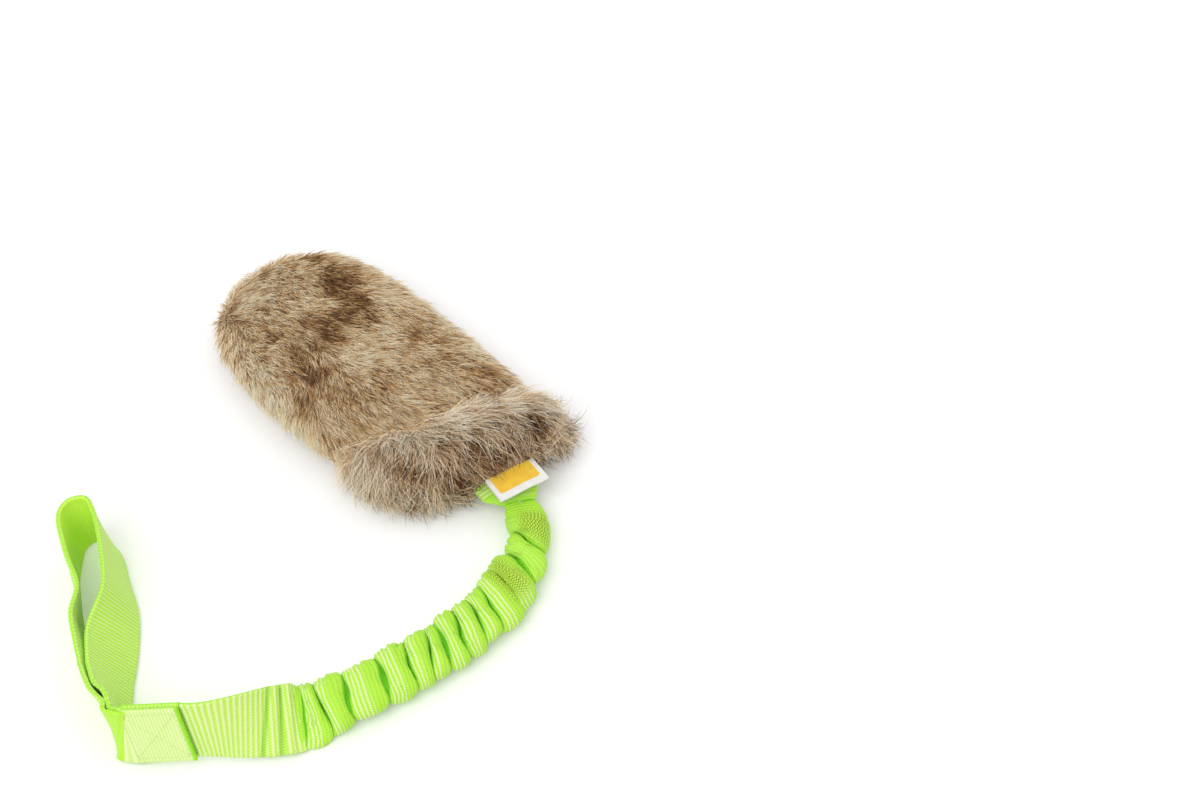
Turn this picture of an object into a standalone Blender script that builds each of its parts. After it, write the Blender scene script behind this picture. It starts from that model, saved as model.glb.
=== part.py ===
"""Bungee tug toy: a faux fur pad on a webbing strap that is gathered over elastic, with a handle loop.

Metres, +Z up. The origin is the middle of the flat patch that the pad rests on, and the pad's long
axis is Y, with its mouth towards -Y. The strap leaves the mouth, lies in one long curve to the left
and ends in a handle loop that stands on the edge of its webbing.
"""

import math

import bmesh
import bpy
from mathutils import Matrix, Vector

# Pad
PAD_HALF_WIDTH = 0.059
PAD_HALF_LENGTH = 0.109
SEAM_HEIGHT = 0.013
PAD_RISE = 0.0150
REST_CUT = 0.0005
FUR_THICKNESS = 0.0065
MOUTH_SKEW = 0.015
CREASE_SKEW = 0.024
MOUTH_SHIFT = 0.006
HEM_LENGTH = 0.046
CREASE_WIDTH = 0.008
PANEL_GAP = 0.0004
PILLOW_ROUND_SHARE = 0.50
FAR_CORNER_SHARE = 0.80
MOUTH_CORNER_SHARE = 0.50
HEM_SWELL_SHARE = 0.30
TOP_CREASE_SHARE = 0.42
BOTTOM_CREASE_SHARE = 0.25
PAD_COLUMNS = 12
HEM_ROWS = 6
BODY_ROWS = 10

# Strap
WEB_WIDTH = 0.035
WEB_THICKNESS = 0.0024
BUNGEE_LENGTH = 0.204
FLAT_LENGTH = 0.050
SLEEVE_WIDTH = 0.031
SLEEVE_HEIGHT = 0.017
RISE_LENGTH = 0.034
NECK_WIDTH = 0.020
NECK_LENGTH = 0.013
SPREAD_LENGTH = 0.055
TAPER_LENGTH = 0.030
ANCHOR_HEIGHT = 0.0118
ANCHOR_LENGTH = 0.046
MOUTH_OVERHANG = 0.0035
MOUTH_ACROSS_SHARE = 0.07
SLEEVE_SIDES = 16
RIB_PITCH = 0.0092
RIB_SWING_SHARE = 0.22
RIB_TURN = 2.4
VALLEY_WIDTH_SHARE = 0.86
VALLEY_HEIGHT_SHARE = 0.74
ELASTIC_WIDTH = 0.0150
ELASTIC_THICKNESS = 0.0020
ELASTIC_START = 0.007
ELASTIC_STEPS = 30
NEAR_SHARE = 0.304
MID_SHARE = 0.200
START_HEADING = math.radians(269)
LONG_HEADING = math.radians(165)
START_POWER = 3.5
TAIL_TURN = math.radians(32)
TAIL_POWER = 14
EDGE_ROLL = math.radians(74)
ROLL_LENGTH = 0.090
LAP_LIFT = 0.007
LIFT_LENGTH = 0.070
ROUTE_STEPS = 400
FLAT_STEPS = 14

# Handle
LAP_LENGTH = 0.032
LAP_GAP = 0.0007
LAP_KNOTS = 6
BEND_RADIUS = 0.007
BEND_TURN = math.radians(78)
BEND_KNOTS = 3
LOOP_LENGTH = 0.134
LOOP_WIDTH = 0.024
LOOP_TURN = math.radians(-67.5)
LOOP_STATIONS_EACH = 4
BOX_SIDE = 0.028

# Threads and label
SEAM_THREAD = 0.0010
BOX_THREAD = 0.0011
BOX_THREAD_HEIGHT = 0.0006
TACK_THREAD = 0.0008
TACK_WIDTH = 0.0140
TACK_LENGTH = 0.0030
TACK_TURNS = 6
STITCH_GAP = 0.0003
CLEARANCE = 0.0004
LABEL_WIDTH = 0.030
LABEL_LENGTH = 0.016
LABEL_CLOTH = 0.0005
LABEL_FOLD = 0.0008
LABEL_ROOT_HEIGHT = 0.0172
LABEL_TILT = math.radians(5)
LABEL_INSET = 0.0007
LABEL_ACROSS_SHARE = 0.14
OVERRUN = 0.030

# The handle loop's centreline after its bend, from the lap's far end: shares of the loop's length and
# width, and the roll of the webbing in degrees, where 90 stands upright.
LOOP_SHARES = (
    (0.100, 0.190, 98),
    (0.156, 0.220, 108),
    (0.225, 0.190, 117),
    (0.296, 0.147, 122),
    (0.436, -0.020, 128),
    (0.591, -0.330, 112),
    (0.739, -0.365, 105),
    (0.879, -0.350, 102),
    (0.976, -0.195, 92),
    (1.014, -0.035, 82),
    (1.011, 0.215, 76),
    (0.961, 0.425, 78),
    (0.826, 0.530, 88),
    (0.739, 0.530, 92),
    (0.619, 0.510, 97),
    (0.500, 0.600, 85),
    (0.386, 0.440, 68),
    (0.296, 0.330, 59),
    (0.225, 0.340, 63),
    (0.156, 0.365, 72),
    (0.100, 0.340, 82),
)


def clear_scene():
    for thing in list(bpy.data.objects):
        bpy.data.objects.remove(thing, do_unlink=True)


def new_collection(name):
    made = bpy.data.collections.new(name)
    bpy.context.scene.collection.children.link(made)
    return made


def material(name, colour, roughness):
    made = bpy.data.materials.new(name)
    made.use_nodes = True
    shader = made.node_tree.nodes["Principled BSDF"]
    shader.inputs["Base Color"].default_value = (*colour, 1.0)
    shader.inputs["Roughness"].default_value = roughness
    shader.inputs["Metallic"].default_value = 0.0
    return made


def place(name, data, collection, finish=None):
    made = bpy.data.objects.new(name, data)
    collection.objects.link(made)
    if finish:
        data.materials.append(finish)
    return made


def place_shape(name, shape, collection, finish=None, angle=math.radians(40)):
    """Turns a bmesh into a smooth-shaded object."""
    mesh = bpy.data.meshes.new(name)
    shape.to_mesh(mesh)
    shape.free()
    mesh.shade_smooth()
    mesh.set_sharp_from_angle(angle=angle)
    return place(name, mesh, collection, finish)


def hang(things, parent):
    """Hangs objects from a parent without moving them."""
    bpy.context.view_layer.update()
    for thing in things:
        thing.parent = parent
        thing.matrix_parent_inverse = parent.matrix_world.inverted()


def joint(name, collection, point, parent=None):
    """An empty on a joint's axis, which the pieces that move with it hang from."""
    made = place(name, None, collection)
    made.location = point
    if parent:
        hang([made], parent)
    return made


def hide_cutter(cutter):
    cutter.hide_render = True
    cutter.display_type = "WIRE"
    return cutter


def boolean(target, cutter, operation="DIFFERENCE"):
    step = target.modifiers.new(f"{operation.lower()} {cutter.name}", "BOOLEAN")
    step.operation = operation
    step.object = cutter
    step.solver = "EXACT"


def ease(share):
    share = min(max(share, 0.0), 1.0)
    return share * share * (3 - 2 * share)


def steps_between(start, end, count):
    return [start + (end - start) * i / count for i in range(count + 1)]


def block(name, collection, low, high, turn=0.0, centre=(0, 0), finish=None):
    """A box between two corners, turned about Z round a centre."""
    shape = bmesh.new()
    bmesh.ops.create_cube(shape, size=1.0)
    for point in shape.verts:
        point.co = [a + (b - a) * (c + 0.5) for a, b, c in zip(low, high, point.co)]
    made = place_shape(name, shape, collection, finish)
    made.rotation_euler = (0, 0, turn)
    made.location = (*centre, 0)
    return made


def tube(name, collection, points, thickness, finish=None):
    """A thread: a round tube along points, as a closed mesh."""
    line = bpy.data.curves.new(name, "CURVE")
    line.dimensions = "3D"
    line.bevel_depth = thickness / 2
    line.bevel_resolution = 1
    line.use_fill_caps = True
    spline = line.splines.new("POLY")
    spline.points.add(len(points) - 1)
    for knot, point in zip(spline.points, points):
        knot.co = (*point, 1)
    guide = place(f"{name}_line", line, collection)
    bpy.context.view_layer.update()
    graph = bpy.context.evaluated_depsgraph_get()
    mesh = bpy.data.meshes.new_from_object(guide.evaluated_get(graph))
    bpy.data.objects.remove(guide)
    shape = bmesh.new()
    shape.from_mesh(mesh)
    bpy.data.meshes.remove(mesh)
    bmesh.ops.remove_doubles(shape, verts=shape.verts, dist=thickness / 100)
    bmesh.ops.recalc_face_normals(shape, faces=shape.faces)
    return place_shape(name, shape, collection, finish)


def loft(name, collection, rings, finish=None):
    """A closed body through rings of points that match one to one."""
    shape = bmesh.new()
    made = [[shape.verts.new(point) for point in ring] for ring in rings]
    for ring, after in zip(made, made[1:]):
        for i in range(len(ring)):
            shape.faces.new((ring[i - 1], ring[i], after[i], after[i - 1]))
    shape.faces.new(made[0])
    shape.faces.new(reversed(made[-1]))
    bmesh.ops.recalc_face_normals(shape, faces=shape.faces)
    return place_shape(name, shape, collection, finish)


# Pad: a crowned pillow over a grid of (across, along), each from -1 to 1

def crease_along():
    """Where the closing stitch lies along the pad, from -1 at the mouth to 1 at the far end."""
    return HEM_LENGTH / PAD_HALF_LENGTH - 1


def pad_skew(along):
    """How far a grid line across the pad slants: most at the crease, and less at the mouth."""
    crease = crease_along()
    body = CREASE_SKEW * ease((1 - along) / (1 - crease))
    return body + (MOUTH_SKEW - CREASE_SKEW) * ease((crease - along) / (crease + 1))


def pad_place(across, along, inset=0.0):
    """Plan of the pad: a rectangle with rounded corners, whose mouth slants and leans to one side."""
    corner = MOUTH_CORNER_SHARE + (FAR_CORNER_SHARE - MOUTH_CORNER_SHARE) * ease((along + 1) / 2)
    x = (PAD_HALF_WIDTH - inset) * across * math.sqrt(1 - corner * along * along / 2)
    y = (PAD_HALF_LENGTH - inset) * along * math.sqrt(1 - corner * across * across / 2)
    return x + MOUTH_SHIFT * ((1 - along) / 2) ** 2, y - pad_skew(along) * across


def pad_swell(across, along, crease_share):
    """Height of the pillow over its seam as a share: rounded at the edge, drawn in at the crease."""
    edge = (1 - across**4) * (1 - along**4)
    away = (along - crease_along()) * PAD_HALF_LENGTH / CREASE_WIDTH
    hem = 1 + HEM_SWELL_SHARE * ease(-away / 2)
    return max(edge, 0.0) ** PILLOW_ROUND_SHARE * hem * (1 - crease_share * math.exp(-away * away))


def pad_height(across, along, upper, inset=0.0):
    if upper:
        return SEAM_HEIGHT + (PAD_RISE - inset) * pad_swell(across, along, TOP_CREASE_SHARE)
    return SEAM_HEIGHT - (SEAM_HEIGHT + REST_CUT - inset) * pad_swell(across, along, BOTTOM_CREASE_SHARE)


def pad_columns():
    """Grid lines across the pad, which crowd towards both sides."""
    return [math.sin(math.pi * (i / PAD_COLUMNS - 0.5)) for i in range(PAD_COLUMNS + 1)]


def pad_rows():
    """Grid lines along the pad, one of them on the crease."""
    crease = crease_along()
    hem = [crease - (crease + 1) * math.sin(math.pi / 2 * (1 - i / HEM_ROWS)) for i in range(HEM_ROWS)]
    body = [crease + (1 - crease) * math.sin(math.pi / 2 * i / BODY_ROWS) for i in range(BODY_ROWS + 1)]
    return hem + body


def pillow(name, collection, inset=0.0, finish=None):
    """A closed pillow: two grids of one outline, welded at the seam."""
    columns, rows = pad_columns(), pad_rows()
    last_column, last_row = len(columns) - 1, len(rows) - 1
    shape = bmesh.new()
    for upper in (True, False):
        grid = bmesh.ops.create_grid(shape, x_segments=last_column, y_segments=last_row, size=1.0)
        for point in grid["verts"]:
            across = columns[round((point.co.x + 1) / 2 * last_column)]
            along = rows[round((point.co.y + 1) / 2 * last_row)]
            rim = abs(across) > 1 - CLEARANCE or abs(along) > 1 - CLEARANCE
            height = SEAM_HEIGHT if rim else pad_height(across, along, upper, inset)
            point.co = (*pad_place(across, along, inset), height)
    bmesh.ops.remove_doubles(shape, verts=shape.verts, dist=CLEARANCE / 100)
    bmesh.ops.triangulate(shape, faces=shape.faces)
    bmesh.ops.recalc_face_normals(shape, faces=shape.faces)
    return place_shape(name, shape, collection, finish, math.radians(75))


def seam_line():
    """The side seam: in the middle of the fur's edge, from the mouth's left round to its right."""
    inset = FUR_THICKNESS / 2
    side = pad_rows()[2:]
    left = [pad_place(-1, along, inset) for along in side]
    far = [pad_place(across, 1, inset) for across in pad_columns()[1:-1]]
    right = [pad_place(1, along, inset) for along in reversed(side)]
    return [(x, y, SEAM_HEIGHT) for x, y in [*left, *far, *right]]


def closing_line(upper):
    """The closing stitch: across the pad on the crease, just proud of the fur."""
    away = STITCH_GAP + SEAM_THREAD / 2
    points = []
    for across in pad_columns()[1:-1]:
        height = pad_height(across, crease_along(), upper)
        points.append((*pad_place(across, crease_along()), height + away if upper else height - away))
    return points


def hem_block(name, collection, past):
    """Everything on the mouth's side of the closing stitch, and a little past it."""
    left, right = Vector(pad_place(-1, crease_along())), Vector(pad_place(1, crease_along()))
    span, middle = right - left, (left + right) / 2
    reach = PAD_HALF_LENGTH + OVERRUN
    low, high = (-reach, -2 * reach, -reach), (reach, past, reach)
    return hide_cutter(block(name, collection, low, high, math.atan2(span.y, span.x), middle))


def half_space(name, collection, low, high):
    reach = PAD_HALF_LENGTH + OVERRUN
    return hide_cutter(block(name, collection, (-reach, -reach, low), (reach, reach, high)))


# Strap: one route on the ground, and a section carried along it

class Station:
    """A place on the strap: its point, its direction, and the webbing's width and face directions."""

    def __init__(self, point, along, across):
        self.point = point
        self.across = across.normalized()
        self.face = across.cross(along).normalized()

    def at(self, across, out):
        return self.point + self.across * across + self.face * out

    def lay(self, thing, out):
        """Lays a flat object on the webbing, with its Z along the face."""
        turn = Matrix((self.across, self.face.cross(self.across), self.face)).transposed()
        thing.matrix_world = Matrix.Translation(self.at(0, out)) @ turn.to_4x4()


def rolled(along, roll):
    """The width direction of webbing that runs along a line, rolled up from flat round that line."""
    right = along.cross(Vector((0, 0, 1))).normalized()
    return right * math.cos(roll) + right.cross(along.normalized()) * math.sin(roll)


def strap_length():
    return BUNGEE_LENGTH + FLAT_LENGTH


def heading(share):
    turned = LONG_HEADING + (START_HEADING - LONG_HEADING) * (1 - share) ** START_POWER
    return turned - TAIL_TURN * share**TAIL_POWER


def direction(angle):
    return Vector((math.cos(angle), math.sin(angle), 0))


def mouth_point():
    x, y = pad_place(MOUTH_ACROSS_SHARE, -1)
    return Vector((x, y - MOUTH_OVERHANG, 0))


def walk_route():
    """Points a step apart from the mouth to the end of the flat strap."""
    points = [mouth_point()]
    for i in range(ROUTE_STEPS):
        step = direction(heading((i + 0.5) / ROUTE_STEPS)) * strap_length() / ROUTE_STEPS
        points.append(points[-1] + step)
    return points


ROUTE = walk_route()


def strap_roll(distance):
    return EDGE_ROLL * ease((distance - strap_length() + ROLL_LENGTH) / ROLL_LENGTH)


def strap_lift(distance):
    return LAP_LIFT * ease((distance - strap_length() + LIFT_LENGTH) / LIFT_LENGTH)


def leaving_mouth(distance):
    return ease(distance / RISE_LENGTH)


def reaching_flat(distance):
    return ease((BUNGEE_LENGTH - distance) / TAPER_LENGTH)


def sleeve_half_height(distance):
    full, flat = SLEEVE_HEIGHT / 2, WEB_THICKNESS / 2
    return flat + (full - flat) * min(leaving_mouth(distance), reaching_flat(distance))


def sleeve_half_width(distance):
    """Full width at the mouth, drawn in to a neck, then wider, and full again at the flat strap."""
    neck = WEB_WIDTH + (NECK_WIDTH - WEB_WIDTH) * ease(distance / NECK_LENGTH)
    spread = neck + (SLEEVE_WIDTH - NECK_WIDTH) * ease((distance - NECK_LENGTH) / SPREAD_LENGTH)
    return (WEB_WIDTH + (spread - WEB_WIDTH) * reaching_flat(distance)) / 2


def standing_height(half_width, half_height, roll):
    """How high the middle of an oval section lies when its edge rests on the ground."""
    return math.hypot(half_width * math.sin(roll), half_height * math.cos(roll))


def resting_height(section, roll):
    """How high a section's middle lies when its lowest corner touches the ground."""
    return max(across * math.sin(roll) + out * math.cos(roll) for across, out in section)


def strap_middle(distance):
    """The strap's middle at a distance from the mouth: it comes down from the mouth to the ground."""
    share = min(max(distance / strap_length(), 0.0), 1.0) * ROUTE_STEPS
    i = min(int(share), ROUTE_STEPS - 1)
    point = ROUTE[i].lerp(ROUTE[i + 1], share - i)
    lying = standing_height(sleeve_half_width(distance), sleeve_half_height(distance), strap_roll(distance))
    drop = max(ANCHOR_HEIGHT - lying, 0.0) * (1 - leaving_mouth(distance))
    point.z = lying + drop + strap_lift(distance)
    return point


def lap_pitch():
    """The slope of the lap, whose far end comes down to the ground."""
    return -math.asin(LAP_LIFT / LAP_LENGTH)


def strap_station(distance):
    step = strap_length() / ROUTE_STEPS
    ahead, behind = min(distance + step, strap_length()), max(distance - step, 0.0)
    along = (strap_middle(ahead) - strap_middle(behind)).normalized()
    along.z += math.sin(lap_pitch()) * ease((distance - strap_length() + LAP_LENGTH) / LAP_LENGTH)
    return Station(strap_middle(distance), along, rolled(along, strap_roll(distance)))


def oval(sides, half_width, half_height):
    turns = [2 * math.pi * (i + 0.5) / sides for i in range(sides)]
    return [(half_width * math.cos(a), half_height * math.sin(a)) for a in turns]


def band(width, thickness):
    """The section of a webbing: a rectangle with its corners cut."""
    x, y, cut = width / 2, thickness / 2, thickness / 4
    right = [(x, cut - y), (x, y - cut), (x - cut, y)]
    left = [(cut - x, y), (-x, y - cut), (-x, cut - y)]
    return [*right, *left, (cut - x, -y), (x - cut, -y)]


def sweep(name, collection, distances, section, finish=None):
    rings = [[strap_station(d).at(*point) for point in section(d)] for d in distances]
    return loft(name, collection, rings, finish)


def valley_distances():
    """Where the valleys between gathers lie: the pitch swings, so that no two gathers are alike."""
    valleys = [0.0]
    while valleys[-1] < BUNGEE_LENGTH - RIB_PITCH / 2:
        swing = RIB_SWING_SHARE * math.sin(RIB_TURN * len(valleys))
        valleys.append(valleys[-1] + RIB_PITCH * (1 + swing))
    return [distance * BUNGEE_LENGTH / valleys[-1] for distance in valleys]


def nearest_valley(valleys, distance):
    return min(range(len(valleys)), key=lambda i: abs(valleys[i] - distance))


def sleeve_section(distance, ridge):
    half_width, half_height = sleeve_half_width(distance), sleeve_half_height(distance)
    if not ridge:
        fullness = min(leaving_mouth(distance), reaching_flat(distance))
        half_width *= 1 - (1 - VALLEY_WIDTH_SHARE) * fullness
        half_height *= 1 - (1 - VALLEY_HEIGHT_SHARE) * fullness
    return oval(SLEEVE_SIDES, half_width, half_height)


def sleeve(name, collection, valleys, first, last, bore, finish):
    """A length of gathered webbing from one valley to another, with the bore cut through it."""
    rings = []
    for i in range(first, last + 1):
        shift = CLEARANCE / 2 if i == first else -CLEARANCE / 2 if i == last else 0.0
        station = strap_station(valleys[i] + shift)
        rings.append([station.at(*point) for point in sleeve_section(valleys[i], False)])
        if i < last:
            ridge = (valleys[i] + valleys[i + 1]) / 2
            station = strap_station(ridge)
            rings.append([station.at(*point) for point in sleeve_section(ridge, True)])
    made = loft(name, collection, rings, finish)
    boolean(made, bore)
    return made


def strap_anchor(collection, finish):
    """The strap's flat end, which runs in through the mouth, square to the strap's first direction."""
    half, thick = WEB_WIDTH / 2, WEB_THICKNESS / 2
    low, high = (-half, CLEARANCE / 2, ANCHOR_HEIGHT - thick), (half, ANCHOR_LENGTH, ANCHOR_HEIGHT + thick)
    turn = heading(0.0) + math.pi / 2
    return block("strap_anchor", collection, low, high, turn, mouth_point().to_2d(), finish)


def mouth_slot(collection):
    """The slit between the fur panels that the anchor runs in through."""
    half, height = WEB_WIDTH / 2 + STITCH_GAP, WEB_THICKNESS / 2 + STITCH_GAP
    low = (-half, -OVERRUN, ANCHOR_HEIGHT - height)
    high = (half, ANCHOR_LENGTH + STITCH_GAP, ANCHOR_HEIGHT + height)
    turn = heading(0.0) + math.pi / 2
    return hide_cutter(block("mouth_slot", collection, low, high, turn, mouth_point().to_2d()))


def elastic_tack(name, collection, start, side, finish):
    """A bar tack through the sleeve and the elastic's end: a zigzag of thread on one face."""
    points = []
    for i in range(2 * TACK_TURNS + 1):
        distance = start + TACK_LENGTH * (i % 2)
        across = TACK_WIDTH * (i / (2 * TACK_TURNS) - 0.5)
        bulge = math.sqrt(1 - (across / sleeve_half_width(distance)) ** 2)
        out = sleeve_half_height(distance) * bulge + STITCH_GAP + TACK_THREAD / 2
        points.append(strap_station(distance).at(across, side * out))
    return tube(name, collection, points, TACK_THREAD, finish)


# Handle: the lap's two layers and the loop between them

def lap_along():
    return direction(heading(1.0)) * math.cos(lap_pitch()) + Vector((0, 0, math.sin(lap_pitch())))


def lap_across():
    return rolled(lap_along(), EDGE_ROLL)


def lap_station(distance, out=0.0):
    """A station on the lap at a distance along it, on the strap itself or out from its face."""
    corner = strap_middle(strap_length())
    corner.z = resting_height(band(WEB_WIDTH, WEB_THICKNESS), EDGE_ROLL) + LAP_LIFT
    main = Station(corner + lap_along() * (distance + CLEARANCE), lap_along(), lap_across())
    return Station(main.at(0, out), lap_along(), lap_across())


def smooth_between(before, start, end, after, share):
    """A value between start and end on the smooth curve through four values."""
    bend = 2 * before - 5 * start + 4 * end - after
    rest = 3 * (start - end) + after - before
    return (2 * start + (end - before) * share + bend * share * share + rest * share**3) / 2


def resting_web(roll):
    return resting_height(band(WEB_WIDTH, WEB_THICKNESS), roll) + CLEARANCE


def bend_point(share, out):
    """The middle of the webbing on its bend, which turns right from the lap's far end."""
    start, angle = heading(1.0), heading(1.0) - BEND_TURN * share
    centre = Vector((math.sin(start), -math.cos(start), 0)) * BEND_RADIUS
    arm = Vector((math.sin(angle), -math.cos(angle), 0)) * (BEND_RADIUS + out)
    point = lap_station(LAP_LENGTH).point + centre - arm
    point.z = resting_web(EDGE_ROLL) + out * math.cos(EDGE_ROLL)
    return point


def loop_places():
    """(point, roll) round the loop after its bend."""
    corner = lap_station(LAP_LENGTH).point
    axis = direction(heading(1.0) + LOOP_TURN)
    left = Vector((-axis.y, axis.x, 0))
    places = []
    for along, across, degrees in LOOP_SHARES:
        point = corner + axis * along * LOOP_LENGTH + left * across * LOOP_WIDTH
        point.z = resting_web(math.radians(degrees))
        places.append((point, math.radians(degrees)))
    return places


def handle_knots():
    """(point, width direction) along the handle: out along the lap, round the loop, and back.

    The webbing lies double over the lap and its bend, where the second layer follows the first.
    """
    layer = WEB_THICKNESS + LAP_GAP
    laps = steps_between(0.0, LAP_LENGTH, LAP_KNOTS)
    turns = steps_between(0.0, 1.0, BEND_KNOTS)[1:]
    out = [lap_station(place).point for place in laps] + [bend_point(turn, 0.0) for turn in turns]
    back = [lap_station(place, layer).point for place in laps] + [bend_point(turn, layer) for turn in turns]
    places = loop_places()
    line = [out[-1], *[point for point, _ in places], back[-1]]
    loop = []
    for i, (point, roll) in enumerate(places):
        loop.append((point, rolled(line[i + 2] - line[i], roll)))
    loop[0] = (loop[0][0], loop[0][1] + lap_across())
    return [*[(p, lap_across()) for p in out], *loop, *[(p, lap_across()) for p in reversed(back)]]


def handle_stations():
    knots = handle_knots()
    start = (2 * knots[0][0] - knots[1][0], knots[0][1])
    end = (2 * knots[-1][0] - knots[-2][0], knots[-1][1])
    knots = [start, *knots, end]
    places = []
    for i in range(1, len(knots) - 2):
        points, widths = zip(*knots[i - 1 : i + 3])
        for j in range(LOOP_STATIONS_EACH):
            share = j / LOOP_STATIONS_EACH
            places.append((smooth_between(*points, share), smooth_between(*widths, share)))
    places.append(knots[-2])
    stations = []
    for i, (point, across) in enumerate(places):
        before, after = places[max(i - 1, 0)][0], places[min(i + 1, len(places) - 1)][0]
        stations.append(Station(point, after - before, across))
    return stations


def box_stitch(name, collection, station, out, finish):
    """A box stitch laid flat: a square with its diagonals, as an outline with four holes."""
    outline = bpy.data.curves.new(name, "CURVE")
    outline.dimensions = "2D"
    outline.fill_mode = "BOTH"
    outline.extrude = BOX_THREAD_HEIGHT / 2
    half = BOX_SIDE / 2
    inner, tip = half - BOX_THREAD, BOX_THREAD * math.sqrt(0.5)
    outlines = [[(half, half), (-half, half), (-half, -half), (half, -half)]]
    for quarter in range(4):
        turn = Matrix.Rotation(quarter * math.pi / 2, 2)
        triangle = [(tip, 0), (inner, inner - tip), (inner, tip - inner)]
        outlines.append([turn @ Vector(point) for point in triangle])
    for points in outlines:
        spline = outline.splines.new("POLY")
        spline.use_cyclic_u = True
        spline.points.add(len(points) - 1)
        for knot, (x, y) in zip(spline.points, points):
            knot.co = (x, y, 0, 1)
    made = place(name, outline, collection, finish)
    station.lay(made, out)
    return made


def label_seam():
    """The label's root on the mouth's upper lip, the seam's direction and the way out of the mouth."""
    near, far = LABEL_ACROSS_SHARE, LABEL_ACROSS_SHARE * 2
    seam = (Vector(pad_place(far, -1)) - Vector(pad_place(near, -1))).to_3d().normalized()
    out = Vector((seam.y, -seam.x, 0))
    root = Vector((*pad_place(near, -1), LABEL_ROOT_HEIGHT)) - out * LABEL_INSET
    return root, seam, out


def label(collection, finish):
    """A woven label folded double, which stands out of the mouth over the strap."""
    root, seam, out = label_seam()
    slope = out * math.cos(LABEL_TILT) + Vector((0, 0, math.sin(LABEL_TILT)))
    normal = seam.cross(slope) if seam.cross(slope).z > 0 else slope.cross(seam)
    lift = (LABEL_FOLD + LABEL_CLOTH) / 2
    bend = [math.pi * (i / 6 - 0.5) for i in range(7)]
    path = [(0.0, -lift)]
    path += [(LABEL_LENGTH - lift + lift * math.cos(a), lift * math.sin(a)) for a in bend]
    path += [(0.0, lift)]
    rings = []
    for i, (along, up) in enumerate(path):
        a, b = path[max(i - 1, 0)], path[min(i + 1, len(path) - 1)]
        tangent = Vector((b[0] - a[0], b[1] - a[1])).normalized()
        ring = []
        for side, face in ((-1, -1), (1, -1), (1, 1), (-1, 1)):
            reach = along - face * tangent.y * LABEL_CLOTH / 2
            height = up + face * tangent.x * LABEL_CLOTH / 2
            ring.append(root + slope * reach + normal * height + seam * side * LABEL_WIDTH / 2)
        rings.append(ring)
    return loft("label", collection, rings, finish)


def build_pad(toy, cutters, fur, fill, thread):
    reach = SEAM_HEIGHT + PAD_HALF_LENGTH
    halves = (
        ("fur_top_panel", half_space("above_seam", cutters, SEAM_HEIGHT + PANEL_GAP / 2, reach)),
        ("fur_bottom_panel", half_space("below_seam", cutters, 0.0, SEAM_HEIGHT - PANEL_GAP / 2)),
    )
    inner = hide_cutter(pillow("cavity_cutter", cutters, FUR_THICKNESS))
    boolean(inner, hem_block("hem_cutter", cutters, 0.0))
    slot = mouth_slot(cutters)
    groove = hide_cutter(tube("seam_groove", cutters, seam_line(), SEAM_THREAD + 2 * STITCH_GAP))
    for name, half in halves:
        panel = pillow(name, toy, finish=fur)
        boolean(panel, inner)
        boolean(panel, half, "INTERSECT")
        boolean(panel, groove)
        boolean(panel, slot)
    filling = pillow("wadding", toy, FUR_THICKNESS + CLEARANCE, fill)
    boolean(filling, hem_block("wadding_cutter", cutters, CREASE_WIDTH))
    tube("side_seam_thread", toy, seam_line(), SEAM_THREAD, thread)
    tube("closing_stitch_needle_thread", toy, closing_line(True), SEAM_THREAD, thread)
    tube("closing_stitch_bobbin_thread", toy, closing_line(False), SEAM_THREAD, thread)


def build_strap(toy, cutters, joints, lime, rubber, thread):
    strap_anchor(toy, lime)
    valleys = valley_distances()
    first = nearest_valley(valleys, BUNGEE_LENGTH * NEAR_SHARE)
    second = nearest_valley(valleys, BUNGEE_LENGTH * (NEAR_SHARE + MID_SHARE))
    swing = joint("mouth_swing", joints, strap_middle(0.0))
    bend = joint("bungee_bend", joints, strap_middle(valleys[first]), swing)
    stretch = joint("bungee_stretch", joints, strap_middle(valleys[second]), bend)
    start, end = ELASTIC_START, BUNGEE_LENGTH - ELASTIC_START
    core = band(ELASTIC_WIDTH, ELASTIC_THICKNESS)
    space = band(ELASTIC_WIDTH + 2 * STITCH_GAP, ELASTIC_THICKNESS + 2 * STITCH_GAP)
    steps = steps_between(start, end, ELASTIC_STEPS)
    hollow = [start - STITCH_GAP, *steps, end + STITCH_GAP]
    bore = hide_cutter(sweep("bore_cutter", cutters, hollow, lambda _: space))
    near = sleeve("sleeve_near", toy, valleys, 0, first, bore, lime)
    middle = sleeve("sleeve_mid", toy, valleys, first, second, bore, lime)
    far = sleeve("sleeve_far", toy, valleys, second, len(valleys) - 1, bore, lime)
    hang([near], swing)
    hang([middle], bend)
    hang([far], stretch)
    cuts = [start - CLEARANCE / 2, valleys[first], valleys[second], end + CLEARANCE / 2]
    for name, low, high, parent in zip(("near", "mid", "far"), cuts, cuts[1:], (swing, bend, stretch)):
        low, high = low + CLEARANCE / 2, high - CLEARANCE / 2
        lengths = [low, *(d for d in steps if low < d < high), high]
        hang([sweep(f"elastic_{name}", toy, lengths, lambda _: core, rubber)], parent)
    tack_ends = (("near", start + STITCH_GAP, swing), ("far", end - TACK_LENGTH - STITCH_GAP, stretch))
    for end_name, distance, parent in tack_ends:
        needle = elastic_tack(f"{end_name}_tack_needle_thread", toy, distance, 1, thread)
        bobbin = elastic_tack(f"{end_name}_tack_bobbin_thread", toy, distance, -1, thread)
        hang([needle, bobbin], parent)
    return stretch


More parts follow.
